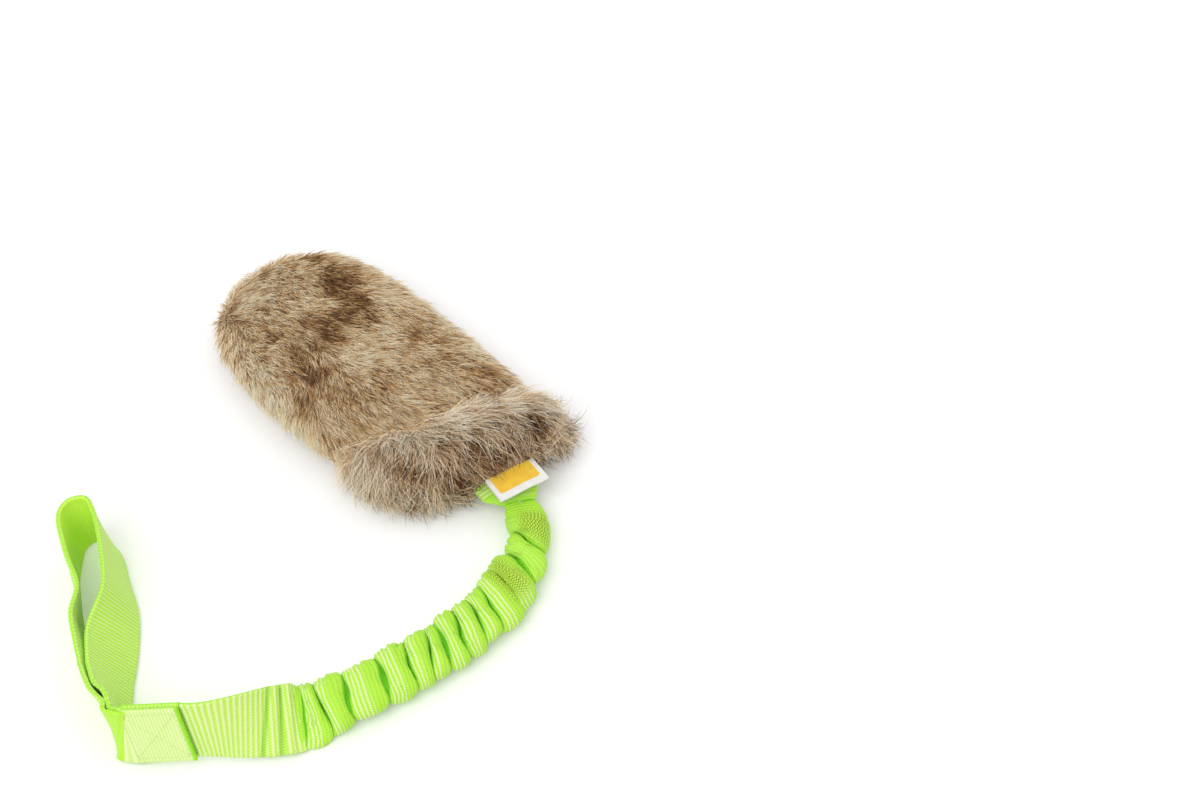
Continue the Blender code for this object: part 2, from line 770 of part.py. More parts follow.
def build_handle(toy, joints, stretch, lime, thread):
    turn = joint("handle_swing", joints, strap_middle(BUNGEE_LENGTH + FLAT_LENGTH / 2), stretch)
    web = band(WEB_WIDTH, WEB_THICKNESS)
    lengths = steps_between(BUNGEE_LENGTH + CLEARANCE / 2, strap_length(), FLAT_STEPS)
    flat = sweep("flat_strap", toy, lengths, lambda _: web, lime)
    loop = loft("handle_webbing", toy, [[s.at(*point) for point in web] for s in handle_stations()], lime)
    proud = WEB_THICKNESS / 2 + STITCH_GAP + BOX_THREAD_HEIGHT / 2
    middle = lap_station(LAP_LENGTH / 2)
    bobbin = box_stitch("box_stitch_bobbin_thread", toy, middle, -proud, thread)
    needle = box_stitch("box_stitch_needle_thread", toy, middle, WEB_THICKNESS + LAP_GAP + proud, thread)
    hang([flat, loop, bobbin, needle], turn)


def build():
    clear_scene()
    toy = new_collection("bungee_tug_toy")
    joints = new_collection("joints")
    cutters = new_collection("cutters")
    fur = material("faux fur", (0.35, 0.26, 0.17), 0.95)
    fill = material("polyester wadding", (0.85, 0.85, 0.82), 0.95)
    lime = material("lime webbing", (0.38, 0.84, 0.04), 0.60)
    rubber = material("woven elastic", (0.80, 0.80, 0.78), 0.70)
    green_thread = material("lime thread", (0.30, 0.75, 0.04), 0.55)
    brown_thread = material("brown thread", (0.25, 0.18, 0.12), 0.60)
    white = material("woven label", (0.90, 0.88, 0.80), 0.60)
    build_pad(toy, cutters, fur, fill, brown_thread)
    stretch = build_strap(toy, cutters, joints, lime, rubber, green_thread)
    build_handle(toy, joints, stretch, lime, green_thread)
    upper_root = label_seam()[0] + Vector((0, 0, LABEL_FOLD / 2 + LABEL_CLOTH))
    flip = joint("label_flip", joints, upper_root)
    hang([label(toy, white)], flip)


build()
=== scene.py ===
# Bungee tug toy: a faux fur pad on a lime webbing strap that is gathered over elastic and ends in a
# stitched hand loop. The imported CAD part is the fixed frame, and soft pieces replace its soft solids.
from functools import partial
from math import asin, ceil, cos, pi, radians, sin

import bpy
import numpy as np
from mathutils import Matrix, Vector, noise


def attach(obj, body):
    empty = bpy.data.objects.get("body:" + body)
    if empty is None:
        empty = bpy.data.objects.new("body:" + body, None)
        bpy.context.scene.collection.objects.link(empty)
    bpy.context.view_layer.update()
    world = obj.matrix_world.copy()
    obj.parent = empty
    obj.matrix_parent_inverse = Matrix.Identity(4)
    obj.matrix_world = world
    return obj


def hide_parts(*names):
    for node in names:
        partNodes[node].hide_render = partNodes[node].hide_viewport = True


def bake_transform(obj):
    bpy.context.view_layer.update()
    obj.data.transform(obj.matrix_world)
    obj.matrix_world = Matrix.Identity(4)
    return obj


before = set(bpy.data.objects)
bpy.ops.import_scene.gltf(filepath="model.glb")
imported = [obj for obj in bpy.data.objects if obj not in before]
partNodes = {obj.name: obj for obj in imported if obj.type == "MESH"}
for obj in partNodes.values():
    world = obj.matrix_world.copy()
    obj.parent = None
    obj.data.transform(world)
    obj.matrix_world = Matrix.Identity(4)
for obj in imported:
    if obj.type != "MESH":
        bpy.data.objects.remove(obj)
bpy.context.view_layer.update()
print("frame loaded")

# Materials: hex colours turned to linear, and one function that adds a node


def linearColour(code):
    parts = [int(code[i : i + 2], 16) / 255 for i in (1, 3, 5)]
    return (*[p / 12.92 if p <= 0.04045 else ((p + 0.055) / 1.055) ** 2.4 for p in parts], 1.0)


def addNode(tree, kind, *values, **settings):
    # values fill the sockets in order, or by name from a dictionary; "Math.ADD" is a kind and its mode
    kind, _, mode = kind.partition(".")
    node = tree.nodes.new(f"ShaderNode{kind}")
    if mode:
        setattr(node, "data_type" if kind == "Mix" else "operation", mode)
    for setting, value in settings.items():
        setattr(node, setting, value)
    if values and isinstance(values[0], dict):
        pairs = [(node.inputs[name], value) for name, value in values[0].items()]
    else:
        pairs = zip([socket for socket in node.inputs if socket.enabled], values)
    for socket, value in pairs:
        if isinstance(value, bpy.types.Node):
            value = next(output for output in value.outputs if output.enabled)
        if isinstance(value, bpy.types.NodeSocket):
            tree.links.new(value, socket)
        else:
            socket.default_value = linearColour(value) if isinstance(value, str) else value
    return node


def emptyTree(owner):
    owner.use_nodes = True
    owner.node_tree.nodes.clear()
    return owner, partial(addNode, owner.node_tree)


def newMaterial(title):
    return emptyTree(bpy.data.materials.new(title))


def finishMaterial(made, add, colour, roughness, relief=None, gloss=None):
    # relief: height, strength, and depth in metres
    inputs = {"Base Color": colour, "Roughness": roughness, **(gloss or {})}
    if relief:
        inputs["Normal"] = add("Bump", dict(zip(("Height", "Strength", "Distance"), relief)))
    add("OutputMaterial", add("BsdfPrincipled", inputs))
    return made


# Camera, lights and floor

shot = {
    "cameraPlace": (-0.4005, -0.6395, 0.8765), "cameraTarget": (0.0935, -0.0946, 0.0),
    "lens": 60.0, "sensor": 36.0,
    # name, place, width and watts of each softbox
    "lamps": (("key_softbox", (-0.80, -0.30, 1.25), 1.1, 8.6), ("fill_softbox", (0.75, 0.45, 1.0), 1.4, 2.6)),
    "lampTarget": (0.0, -0.05, 0.0), "skyStrength": 0.72,
    "floorSize": 6.0, "floorDrop": 0.0004, "floorGlow": 0.12,
}


def aimedObject(title, data, place, target):
    made = bpy.data.objects.new(title, data)
    made.location = place
    made.rotation_euler = (Vector(target) - made.location).to_track_quat("-Z", "Y").to_euler()
    bpy.context.scene.collection.objects.link(made)
    return made


def seenAsWhite(add):
    # the rays that see the studio: straight from the camera, off gloss and through glass
    path = add("LightPath").outputs
    direct = add("Math.MAXIMUM", path["Is Camera Ray"], path["Is Glossy Ray"])
    return add("Math.MAXIMUM", direct, path["Is Transmission Ray"])


def setUpShot():
    lens = bpy.data.cameras.new("camera")
    lens.lens, lens.sensor_width = shot["lens"], shot["sensor"]
    bpy.context.scene.camera = aimedObject("camera", lens, shot["cameraPlace"], shot["cameraTarget"])
    bpy.context.scene.view_settings.view_transform = "Standard"
    for title, place, size, watts in shot["lamps"]:
        lamp = bpy.data.lights.new(title, "AREA")
        lamp.size, lamp.energy = size, watts
        aimedObject(title, lamp, place, shot["lampTarget"])
    world, add = emptyTree(bpy.data.worlds.new("studio"))
    bpy.context.scene.world = world
    lit = add("Background", "#FFFFFF", shot["skyStrength"])
    add("OutputWorld", add("MixShader", seenAsWhite(add), lit, add("Background", "#FFFFFF", 1.0)))


def layFloor():
    # matt white studio sweep: a little of its white is its own for the camera, and shadows stay
    selectOnly()
    bpy.ops.mesh.primitive_plane_add(size=shot["floorSize"], location=(0, 0, -shot["floorDrop"]))
    floor = bpy.context.object
    floor.name = "studio_floor"
    sweep, add = newMaterial("mattWhiteSweep")
    glow = add("Emission", "#FFFFFF", add("Math.MULTIPLY", seenAsWhite(add), shot["floorGlow"]))
    add("OutputMaterial", add("AddShader", add("BsdfDiffuse", "#F6F6F6"), glow))
    floor.data.materials.append(sweep)


def selectOnly(*pieces):
    bpy.ops.object.select_all(action="DESELECT")
    for piece in pieces:
        piece.select_set(True)
    if pieces:
        bpy.context.view_layer.objects.active = pieces[0]


setUpShot()
layFloor()
print("camera, lights and floor set")

# Route of the strap, from the pad's mouth to the lap of the handle, as the CAD part lays it

route = {
    "padHalfWidth": 0.059, "padHalfLength": 0.109, "seamHeight": 0.013, "padRise": 0.015,
    "mouthSkew": 0.015, "creaseSkew": 0.024, "mouthShift": 0.006,
    "hemLength": 0.046, "creaseWidth": 0.008,
    "webWidth": 0.035, "webThickness": 0.0024, "bungee": 0.204, "flat": 0.050,
    "rise": 0.034, "taper": 0.030, "mouthHeight": 0.0118,
    "sleeveWidth": 0.031, "sleeveHeight": 0.017, "neckWidth": 0.020, "neckLength": 0.013, "spread": 0.055,
    "startHeading": radians(269), "longHeading": radians(165), "tailTurn": radians(32),
    "edgeRoll": radians(74), "rollLength": 0.090, "lapLift": 0.007, "liftLength": 0.070,
    "mouthPoint": (0.00958, -0.11348), "steps": 400,
    "lapLength": 0.032, "lapGap": 0.0007, "bendRadius": 0.007, "bendTurn": radians(78),
    "loopLength": 0.134, "loopWidth": 0.024, "loopTurn": radians(-67.5),
}
strapLength = route["bungee"] + route["flat"]
webHalf, thickHalf = route["webWidth"] / 2, route["webThickness"] / 2


def ease(share):
    share = np.clip(share, 0.0, 1.0)
    return share * share * (3 - 2 * share)


def bell(away, power=2):
    return np.exp(-(np.abs(away) ** power))


def unit(vectors):
    return vectors / np.maximum(np.linalg.norm(vectors, axis=-1, keepdims=True), 1e-9)


def runAlong(points):
    return np.concatenate([[0.0], np.cumsum(np.linalg.norm(np.diff(points, axis=0), axis=1))])


def heading(share):
    turned = route["longHeading"] + (route["startHeading"] - route["longHeading"]) * (1 - share) ** 3.5
    return turned - route["tailTurn"] * share**14


def walkRoute():
    middles = (np.arange(route["steps"]) + 0.5) / route["steps"]
    turns = heading(middles)
    steps = np.stack([np.cos(turns), np.sin(turns)], axis=1) * strapLength / route["steps"]
    return np.vstack([route["mouthPoint"], np.array(route["mouthPoint"]) + np.cumsum(steps, axis=0)])


routePoints = walkRoute()
routeMarks = np.linspace(0.0, strapLength, route["steps"] + 1)


def strapRoll(distance):
    return route["edgeRoll"] * ease((distance - strapLength + route["rollLength"]) / route["rollLength"])


def sleeveHalfHeight(distance, taper=route["taper"]):
    fullness = np.minimum(ease(distance / route["rise"]), ease((route["bungee"] - distance) / taper))
    return thickHalf + (route["sleeveHeight"] / 2 - thickHalf) * fullness


def sleeveHalfWidth(distance):
    web, neckWidth = route["webWidth"], route["neckWidth"]
    neck = web + (neckWidth - web) * ease(distance / route["neckLength"])
    opened = ease((distance - route["neckLength"]) / route["spread"])
    spread = neck + (route["sleeveWidth"] - neckWidth) * opened
    return (web + (spread - web) * ease((route["bungee"] - distance) / route["taper"])) / 2


def strapMiddle(distance):
    distance = np.asarray(distance, dtype=float)
    x = np.interp(distance, routeMarks, routePoints[:, 0])
    y = np.interp(distance, routeMarks, routePoints[:, 1])
    early = np.minimum(distance, 0.0)
    turn = heading(0.0)
    x, y = x + early * cos(turn), y + early * sin(turn)
    roll = strapRoll(distance)
    lying = np.hypot(sleeveHalfWidth(distance) * np.sin(roll), sleeveHalfHeight(distance) * np.cos(roll))
    drop = np.maximum(route["mouthHeight"] - lying, 0.0) * (1 - ease(distance / route["rise"]))
    lift = route["lapLift"] * ease((distance - strapLength + route["liftLength"]) / route["liftLength"])
    return np.stack([x, y, lying + drop + lift], axis=-1)


def rolledAcross(along, roll):
    right = np.stack([along[..., 1], -along[..., 0], np.zeros_like(along[..., 0])], axis=-1)
    return unit(right * np.cos(roll)[..., None] + np.cross(right, along) * np.sin(roll)[..., None])


lapPitch = -asin(route["lapLift"] / route["lapLength"])


def strapFrames(distance):
    step = strapLength / route["steps"]
    ahead = strapMiddle(np.minimum(distance + step, strapLength))
    along = unit(ahead - strapMiddle(np.minimum(distance, strapLength) - step))
    along[..., 2] += sin(lapPitch) * ease((distance - strapLength + route["lapLength"]) / route["lapLength"])
    across = rolledAcross(along, strapRoll(distance))
    return strapMiddle(distance), unit(along), across, unit(np.cross(across, along))


# Meshes: a grid is laid, its points go to their places, and its sides are merged into a tube


def meshPlaces(piece):
    places = np.empty(len(piece.data.vertices) * 3)
    piece.data.vertices.foreach_get("co", places)
    return places.reshape(-1, 3)


def newGrid(across, along, size):
    selectOnly()
    bpy.ops.mesh.primitive_grid_add(x_subdivisions=across, y_subdivisions=along, size=size)
    return bpy.context.object, meshPlaces(bpy.context.object)


def joined(name, pieces):
    selectOnly(*pieces)
    bpy.ops.object.join()
    pieces[0].name = pieces[0].data.name = name
    return pieces[0]


def weld(piece, threshold, fill=False):
    selectOnly(piece)
    bpy.ops.object.mode_set(mode="EDIT")
    bpy.ops.mesh.select_all(action="SELECT")
    bpy.ops.mesh.remove_doubles(threshold=threshold)
    if fill:
        bpy.ops.mesh.fill_holes(sides=0)
        bpy.ops.mesh.select_all(action="SELECT")
    bpy.ops.mesh.normals_make_consistent(inside=False)
    bpy.ops.object.mode_set(mode="OBJECT")


def addLayer(mesh, name, values):
    layer = mesh.attributes.new(name, "FLOAT", "POINT")
    layer.data.foreach_set("value", values.astype(np.float32).ravel())


def addMap(mesh, name, values):
    layer = mesh.uv_layers.new(name=name)
    layer.data.foreach_set("uv", values.astype(np.float32).ravel())


def sheetFromGrid(name, points, maps, layers, finish):
    # points, and each map and layer, are rows along the piece by columns round it
    rows, columns = points.shape[:2]
    made, places = newGrid(columns - 1, rows - 1, 1.0)
    made.name = made.data.name = name
    mesh = made.data
    column = np.rint((places[:, 0] + 0.5) * (columns - 1)).astype(int)
    row = np.rint((places[:, 1] + 0.5) * (rows - 1)).astype(int)
    mesh.vertices.foreach_set("co", points[row, column].ravel())
    for title, values in layers.items():
        addLayer(mesh, title, values[row, column])
    corners = np.empty(len(mesh.loops), dtype=np.int32)
    mesh.loops.foreach_get("vertex_index", corners)
    while mesh.uv_layers:
        mesh.uv_layers.remove(mesh.uv_layers[0])
    u, v = np.meshgrid(np.linspace(0.01, 0.99, columns), np.linspace(0.01, 0.99, rows))
    for title, values in {**maps, "OFBake": np.stack([u, v], axis=-1)}.items():
        addMap(mesh, title, values[row[corners], column[corners]])
    weld(made, 1e-7, fill=True)
    bpy.ops.object.shade_smooth_by_angle(angle=radians(60))
    mesh.materials.append(finish)
    return made


# Lime webbing: woven nylon, dyed in the piece, with crosswise ribs whose pale floats catch the light

webbing = {
    # the flat colour is the lime painted paler: painted light on the flat strap, which lies face up to the
    # lamps
    # the pale colour is the lime painted paler still: painted light on the lap, which lies face up to the
    # lamps
    "lime": "#B9F22C", "flat": "#D3F268", "leg": "#BFF03E", "pale": "#E6F6A6", "rib": "#F6FCC6",
    # the inner colour is the lime painted brighter: painted light on the loop's far inner side, against the
    # shade inside the loop
    # the valley colour and the sunk colour are painted shade, for the valleys and creases of the gathers and
    # between their stitches
    "valley": "#6FD200", "edge": "#A2EA2E", "tint": "#A6F014", "fuzz": "#DEF68A", "inner": "#DEFF58",
    # the net's hole colour is painted shade, for the sleeve's inside seen through the opened weave
    "sunk": "#438800", "netHoleShade": "#6FA014", "netThread": "#CDEB52",
}


def webbingMaterial(title, ribPitch, ribStrength, stitchPitch, stitchDepth=0.55, base="lime"):
    made, add = newMaterial(title)
    weave, place = add("UVMap", uv_map="weave"), add("TexCoord").outputs["Object"]
    length, across, _ = add("SeparateXYZ", weave).outputs
    layers = ("crest", "sealed", "ribbed", "net")
    crest, sealed, ribbed, opened = [add("Attribute", attribute_name=name).outputs["Fac"] for name in layers]
    # ribs across the strap, and the warp's stitches between them, whose rows wander a little
    wandered = add("Math.ADD", length, add("Math.MULTIPLY", add("TexNoise", weave, 0.15, 2.0), 0.5))
    ribWave = add("Math.COSINE", add("Math.MULTIPLY", wandered, 2 * pi / ribPitch))
    ribMask = add("MapRange", ribWave, -0.35, 0.6)
    stitchTurn = add("Math.MULTIPLY", across, 2 * pi / stitchPitch)
    lean = add("Math.MULTIPLY", wandered, 2 * pi / (stitchPitch * 3))
    stitchWave = add("Math.COSINE", add("Math.ADD", stitchTurn, lean))
    stitchMask = add("MapRange", stitchWave, -0.9, 0.5, 1 - stitchDepth, 1.0)
    # painted shade: the ground is painted a deeper, darker green in the valleys and creases and between the
    # stitches, and darkest between the stitches in the valleys
    cloud, grain = add("TexNoise", place, 120.0, 3.0), add("TexNoise", weave, 2.6, 2.0)
    crestMask = add("MapRange", crest, 0.10, 0.48)
    colour = add("Mix.RGBA", crestMask, webbing["valley"], webbing[base])
    tinted = add("Math.MULTIPLY", add("Math.MULTIPLY", cloud, 0.45), crestMask)
    dark = add("Math.MULTIPLY", add("Math.SUBTRACT", 1.0, stitchMask), 0.5)
    sunk = add("Math.MULTIPLY", add("Math.MULTIPLY", dark, 1.6), add("Math.SUBTRACT", 1.0, crestMask))
    shownRib = add("Math.MULTIPLY", ribMask, add("Math.MULTIPLY", stitchMask, ribbed))
    ribShare = add("Math.MULTIPLY", shownRib, ribStrength, use_clamp=True)
    fuzz = add("Math.MULTIPLY", add("Math.MULTIPLY", grain, 0.25), crestMask)
    # where the cloth is stretched open, its crossing threads show over holes painted dark, painted shade of
    # the sleeve's inside
    netPitches = ((across, 1.6), (length, 2.4))
    crossed = [add("Math.COSINE", add("Math.MULTIPLY", way, 2 * pi / pitch)) for way, pitch in netPitches]
    netShare = add("MapRange", add("Math.MULTIPLY", *crossed), -0.35, 0.35)
    net = add("Mix.RGBA", netShare, webbing["netHoleShade"], webbing["netThread"])
    for share, over in (
        (tinted, webbing["tint"]), (dark, webbing["valley"]), (sunk, webbing["sunk"]),
        (ribShare, webbing["rib"]), (fuzz, webbing["fuzz"]), (sealed, webbing["edge"]), (opened, net),
    ):
        colour = add("Mix.RGBA", share, colour, over)
    high = add("Math.ADD", add("Math.MULTIPLY", ribWave, 0.6), add("Math.MULTIPLY", stitchWave, 0.3))
    rough = add("Math.ADD", add("Math.MULTIPLY", grain, 0.2), 0.45)
    gloss = {"Sheen Weight": 0.08, "Sheen Roughness": 0.4, "Specular IOR Level": 0.25}
    return finishMaterial(made, add, colour, rough, (high, 0.1 + 0.7 * ribStrength, 0.00025), gloss)


# ribs lie 2.4 mm apart on the gathers and 2.6 mm on the flat strap; on the handle the finer back shows
gatheredWebbing = webbingMaterial("wovenNylonGathered", 2.4, 1.0, 1.35)
# the flat strap's paler base is painted light on the same webbing
flatPaintedLightWebbing = webbingMaterial("wovenNylonFlatPaintedLight", 2.6, 0.95, 1.35, base="flat")
handleWebbing = webbingMaterial("wovenNylonHandle", 2.0, 0.6, 1.3, stitchDepth=0.45, base="leg")
# the lap's paler base is painted light on the same webbing
lapPaintedLightWebbing = webbingMaterial("wovenNylonLapPaintedLight", 1.8, 0.8, 1.3, stitchDepth=0.2, base="pale")
# the far inner side's bright base is painted light, against the shade inside the loop
innerPaintedLightWebbing = webbingMaterial("wovenNylonInnerPaintedLight", 2.0, 0.0, 1.3, stitchDepth=0.1, base="inner")
foldWebbing = webbingMaterial("wovenNylonFold", 2.0, 0.1, 1.3, stitchDepth=0.2)

# Gathered sleeve: the valleys lean across the strap, and the webbing rolls up between them

gathers = {
    # mm from the mouth at the upper side, the same at the lower side, depth as a share, floor width in mm,
    # and the share of the depth that reaches the sides
    "valleys": (
        (-6, -6, 0.0, 0, 0.5), (11, 13, 0.85, 0.8, 0.8), (34, 46, 1.1, 1.2, 1.0), (50, 62, 1.4, 2.6, 1.0),
        (67, 77, 0.45, 0.5, 0.4), (80, 91.5, 1.1, 1.3, 0.4), (92, 101, 1.05, 1.3, 0.4),
        (103, 112.5, 1.1, 1.7, 0.4), (115, 123, 1.15, 2.4, 0.45), (122.5, 132, 1.0, 1.1, 0.4),
        (136, 142.5, 1.1, 1.0, 0.45), (153, 157, 1.1, 2.8, 0.5), (173, 176.5, 1.1, 2.2, 0.5),
        (187, 189, 0.95, 0.9, 0.5), (198, 200, 0.9, 1.0, 0.6), (212, 212, 0.0, 0, 0.5),
    ),
    # short creases: mm from the mouth, turn from the upper face in radians (below zero is the upper side),
    # reach round the strap, depth in mm, and how far each leans, in mm
    "creases": (
        (20, -1.2, 0.5, 1.3, 5), (28, 1.0, 0.5, 1.2, -6), (42, -1.1, 0.45, 1.6, 5), (57, 1.2, 0.5, 1.2, 4),
        (61, -1.0, 0.45, 1.5, 4), (74, -1.15, 0.45, 1.5, 3), (76, 1.1, 0.4, 1.0, -4),
        (85, -1.1, 0.40, 1.6, 3), (96, -1.05, 0.45, 1.6, 4), (108, -1.1, 0.45, 1.7, 4),
        (109, 0.9, 0.4, 0.9, -5), (121, -1.0, 0.50, 1.6, 4), (128, -1.1, 0.40, 1.5, 3),
        (139, -1.05, 0.50, 1.8, 4), (146, -1.0, 0.50, 1.5, 5), (148, 1.1, 0.5, 1.0, -4),
        (162, -1.1, 0.45, 1.6, 4), (168, -0.9, 0.5, 1.3, 5), (181, -1.0, 0.50, 1.7, 4),
        (193, -1.0, 0.5, 1.5, 3), (194, 0.8, 0.6, 1.2, -3),
    ),
    # nets: mm from the mouth, turn from the upper face, length in mm, reach round the strap
    "nets": ((31, 0.40, 10, 0.95), (68, -0.1, 8, 0.95)),
    "depth": 0.0056, "lean": 0.0020, "ribPitch": 2.4, "ribRelief": 0.00018, "columns": 84, "rows": 520,
    "near": 0.0642, "mid": 0.1026, "roundness": 2.3, "taper": 0.018, "inMouth": 0.004, "crestPower": 0.36,
    "creaseWidth": 1.1, "mouthStart": -0.002, "mouthEnd": 0.014, "bendEnd": 0.088,
}


def turnedFrom(angle, turn):
    # how far an angle round the strap lies from a turn off its upper face, from -pi to pi
    return (angle - pi / 2 - turn + pi) % (2 * pi) - pi


def valleyLines(turns):
    # each valley's place along the strap in metres, for each angle round it
    valleys = np.array(gathers["valleys"], dtype=float)
    phases = ((np.arange(len(valleys)) * 2.39996) % (2 * pi))[:, None]
    wobble = 0.6 * np.sin(2 * turns + phases) + 0.2 * np.sin(3 * turns + 1.7 * phases)
    lines = valleys[:, 1:2] + (valleys[:, 0:1] - valleys[:, 1:2]) * (1 + np.cos(turns)) / 2 + wobble
    return valleys, np.maximum.accumulate(lines, axis=0) / 1000


def sleeveSurface():
    rows, columns = gathers["rows"], gathers["columns"]
    distance = np.linspace(-gathers["inMouth"], route["bungee"], rows + 1)
    turns = np.linspace(0, 2 * pi, columns + 1) + pi / 2
    s, a = distance[:, None] + 0 * turns, turns + 0 * distance[:, None]
    middle, along, across, face = [part[:, None] for part in strapFrames(distance)]
    power = 2 / gathers["roundness"]
    sideways = np.sign(np.cos(a)) * np.abs(np.cos(a)) ** power * sleeveHalfWidth(s)
    out = np.sign(np.sin(a)) * np.abs(np.sin(a)) ** power * sleeveHalfHeight(s, gathers["taper"])
    valleys, lines = valleyLines(turns)
    index = np.sum([s >= line for line in lines[1:-1]], axis=0)
    column = np.arange(columns + 1)[None, :]
    low, high = lines[index, column], lines[index + 1, column]
    # share of the way from one valley's floor to the next; the floors narrow to the sides
    floor = np.clip(1 - ((np.cos(a) + 0.15) / 0.95) ** 2, 0.12, 1) / 2
    fromLow = np.maximum((s - low) * 1000 - valleys[index, 3] * floor, 0)
    toHigh = np.maximum((high - s) * 1000 - valleys[index + 1, 3] * floor, 0)
    share = fromLow / np.maximum(fromLow + toHigh, 1e-6)
    wholeShare = np.clip((s - low) / np.maximum(high - low, 1e-6), 0, 1)
    hump = np.sin(pi * np.clip(share + 0.12 * np.sin(pi * share) ** 2, 0, 1)) ** gathers["crestPower"]
    hump = np.clip(hump, 0, 1)
    deep, sides = [
        valleys[index, k] + (valleys[index + 1, k] - valleys[index, k]) * ease(wholeShare) for k in (2, 4)
    ]
    deep = deep * (sides + (1 - sides) * np.sin(a) ** 2)
    fullness = np.minimum(ease(s / 0.020), ease((route["bungee"] + 0.004 - s) / 0.012))
    # each roll is a little thicker or thinner than the next, in mm
    swell = 0.8 * np.sin(index * 2.1 + 0.6)
    swell = swell + 0.6 * np.sin(2 * a + index * 1.9) + 0.4 * np.sin(3 * a + index * 2.7)
    ripple = 0.3 * np.sin(s * 1000 / 4.1 * 2 * pi + 2.0 * np.cos(a) + index * 1.3) * np.clip(np.cos(a), 0, 1)
    nick = np.zeros_like(s)
    for start, turn, reach, drop, lean in gathers["creases"]:
        turned = turnedFrom(a, turn)
        away = (s * 1000 - start - lean * turned) / gathers["creaseWidth"]
        nick += drop * bell(away) * bell(turned / reach)
    radial = fullness * (-gathers["depth"] * deep * (1 - hump) + (swell + ripple) * hump / 1000) - nick / 1000
    inward = np.clip(1 + radial / np.maximum(np.hypot(sideways, out), 0.004), 0.35, 1.4)
    forward = gathers["lean"] * (hump - 0.5) * np.sin(pi * wholeShare) * fullness * (deep + 0.2)
    outward = across * sideways[..., None] + face * out[..., None]
    points = middle + outward * inward[..., None] + along * forward[..., None]
    # the weave's length is counted along the cloth, in whole ribs from valley to valley
    steps = np.linalg.norm(np.diff(points, axis=0), axis=2)
    arcs = np.vstack([np.zeros((1, columns + 1)), np.cumsum(steps, axis=0)]) * 1000
    marks = np.stack([np.interp(lines[:, c], distance, arcs[:, c]) for c in range(columns + 1)], axis=1)
    pitch = gathers["ribPitch"]
    ribs = np.maximum(np.round(np.mean(np.diff(marks, axis=0), axis=1) / pitch), 1)
    reached = np.concatenate([[0.0], np.cumsum(ribs)]) * pitch
    start, end = marks[index, column], marks[index + 1, column]
    part = np.clip((arcs - start) / np.maximum(end - start, 0.5), 0, 1)
    length = reached[index] + part * (reached[index + 1] - reached[index]) + pitch / 2
    relief = gathers["ribRelief"] * np.cos(2 * pi * length / pitch) * fullness * (0.3 + 0.7 * hump)
    points = points + unit(outward) * relief[..., None]
    points[..., 2] = np.maximum(points[..., 2], 0.0002 + 0.0003 * (1 - hump))
    girth = np.cumsum(np.linalg.norm(np.diff(points, axis=1), axis=2), axis=1) * 1000
    girth = np.hstack([np.zeros((rows + 1, 1)), girth])
    weave = np.stack([length, girth - girth[:, columns // 2 : columns // 2 + 1]], axis=-1)
    # crest is low in the valleys and creases, and there the material paints the webbing in shade
    crest = 1 - (1 - hump) * np.clip(deep * 1.3, 0, 1) * np.clip(fullness * 1.3, 0, 1)
    crest = np.clip(crest - 0.35 * nick, 0, 1)
    # the flank towards the mouth shows plain, and the ribs show from the crest on
    bare = ease((share - 0.34 - 0.05 * np.sin(index * 1.7)) / 0.14) * (1 - ease((share - 0.93) / 0.06))
    ribbed = (0.30 + 0.70 * ease((s - gathers["near"] + 0.004) / 0.008)) * (0.08 + 0.92 * bare)
    # stretched flat between its folds near the mouth, the weave opens to a net, whose holes are painted shade
    net = np.zeros_like(crest)
    for start, turn, span, reach in gathers["nets"]:
        turned = turnedFrom(a, turn)
        net += bell((s * 1000 - start - 4 * turned) / span, 4) * bell(turned / reach, 4)
    return distance, points, weave, {"crest": crest, "ribbed": ribbed, "net": np.clip(net, 0, 1)}


def buildSleeves(surface):
    distance, points, weave, layers = surface
    inner = [int(np.argmin(np.abs(distance - gathers[end]))) for end in ("near", "mid")]
    cuts = [0, *inner, len(distance) - 1]
    made = []
    for title, low, high in zip(("near", "mid", "far"), cuts, cuts[1:]):
        cut = slice(low, high + 1)
        cutLayers = {name: values[cut] for name, values in layers.items()}
        name = f"sleeve_{title}_cloth"
        made.append(sheetFromGrid(name, points[cut], {"weave": weave[cut]}, cutLayers, gatheredWebbing))
    near, mid, far = made
    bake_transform(near)
    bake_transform(mid)
    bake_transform(far)
    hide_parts("sleeve_near")
    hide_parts("sleeve_mid")
    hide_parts("sleeve_far")


sleeveShape = sleeveSurface()
buildSleeves(sleeveShape)
print("gathered sleeve built")

# Flat strap and handle: one ribbon of webbing with thick woven edges

ribbon = {
    "points": 22, "edgeFrom": 0.86, "plainEdge": 0.0155, "sealedEdge": 0.0004,
    # the ribs' pitch in mm and their height in metres, on the face and on the finer back
    "faceRibs": (2.6, 0.00012), "backRibs": (2.0, 0.00004),
    # wrinkles where the gathers turn flat: mm along it at the upper and the lower edge, width in mm,
    # and drop in mm, below zero for a valley
    "wrinkles": ((4, 7, 2.2, 1.7), (8.5, 10.5, 1.3, -1.7), (12, 15, 2.2, 1.1), (16, 20, 1.7, -0.9)),
    "rows": 120, "bendFrom": 0.206,
    # mm by which the paler finish starts before the lap, mm of plain fold before that, and the share of
    # the loop past which its far inner side shows
    "lapStart": 1.0, "fold": 9.0, "farShare": 0.62,
}


def ribbonSection():
    # outline of the webbing: flat faces, and edges that are a little thicker and round
    xs = np.linspace(-1, 1, ribbon["points"])
    xs = np.sign(xs) * (1 - (1 - np.abs(xs)) ** 1.6)
    edge = np.clip((np.abs(xs) - ribbon["edgeFrom"]) / (1 - ribbon["edgeFrom"]), 0, 1)
    thick = thickHalf * (0.86 + 0.3 * np.sin(pi * edge)) * np.sqrt(np.clip(1 - edge**4, 0, 1))
    top = np.stack([xs * webHalf, thick], axis=-1)
    bottom = np.stack([xs[::-1] * webHalf, -thick[::-1]], axis=-1)
    return np.vstack([top, bottom[1:-1], top[:1]])


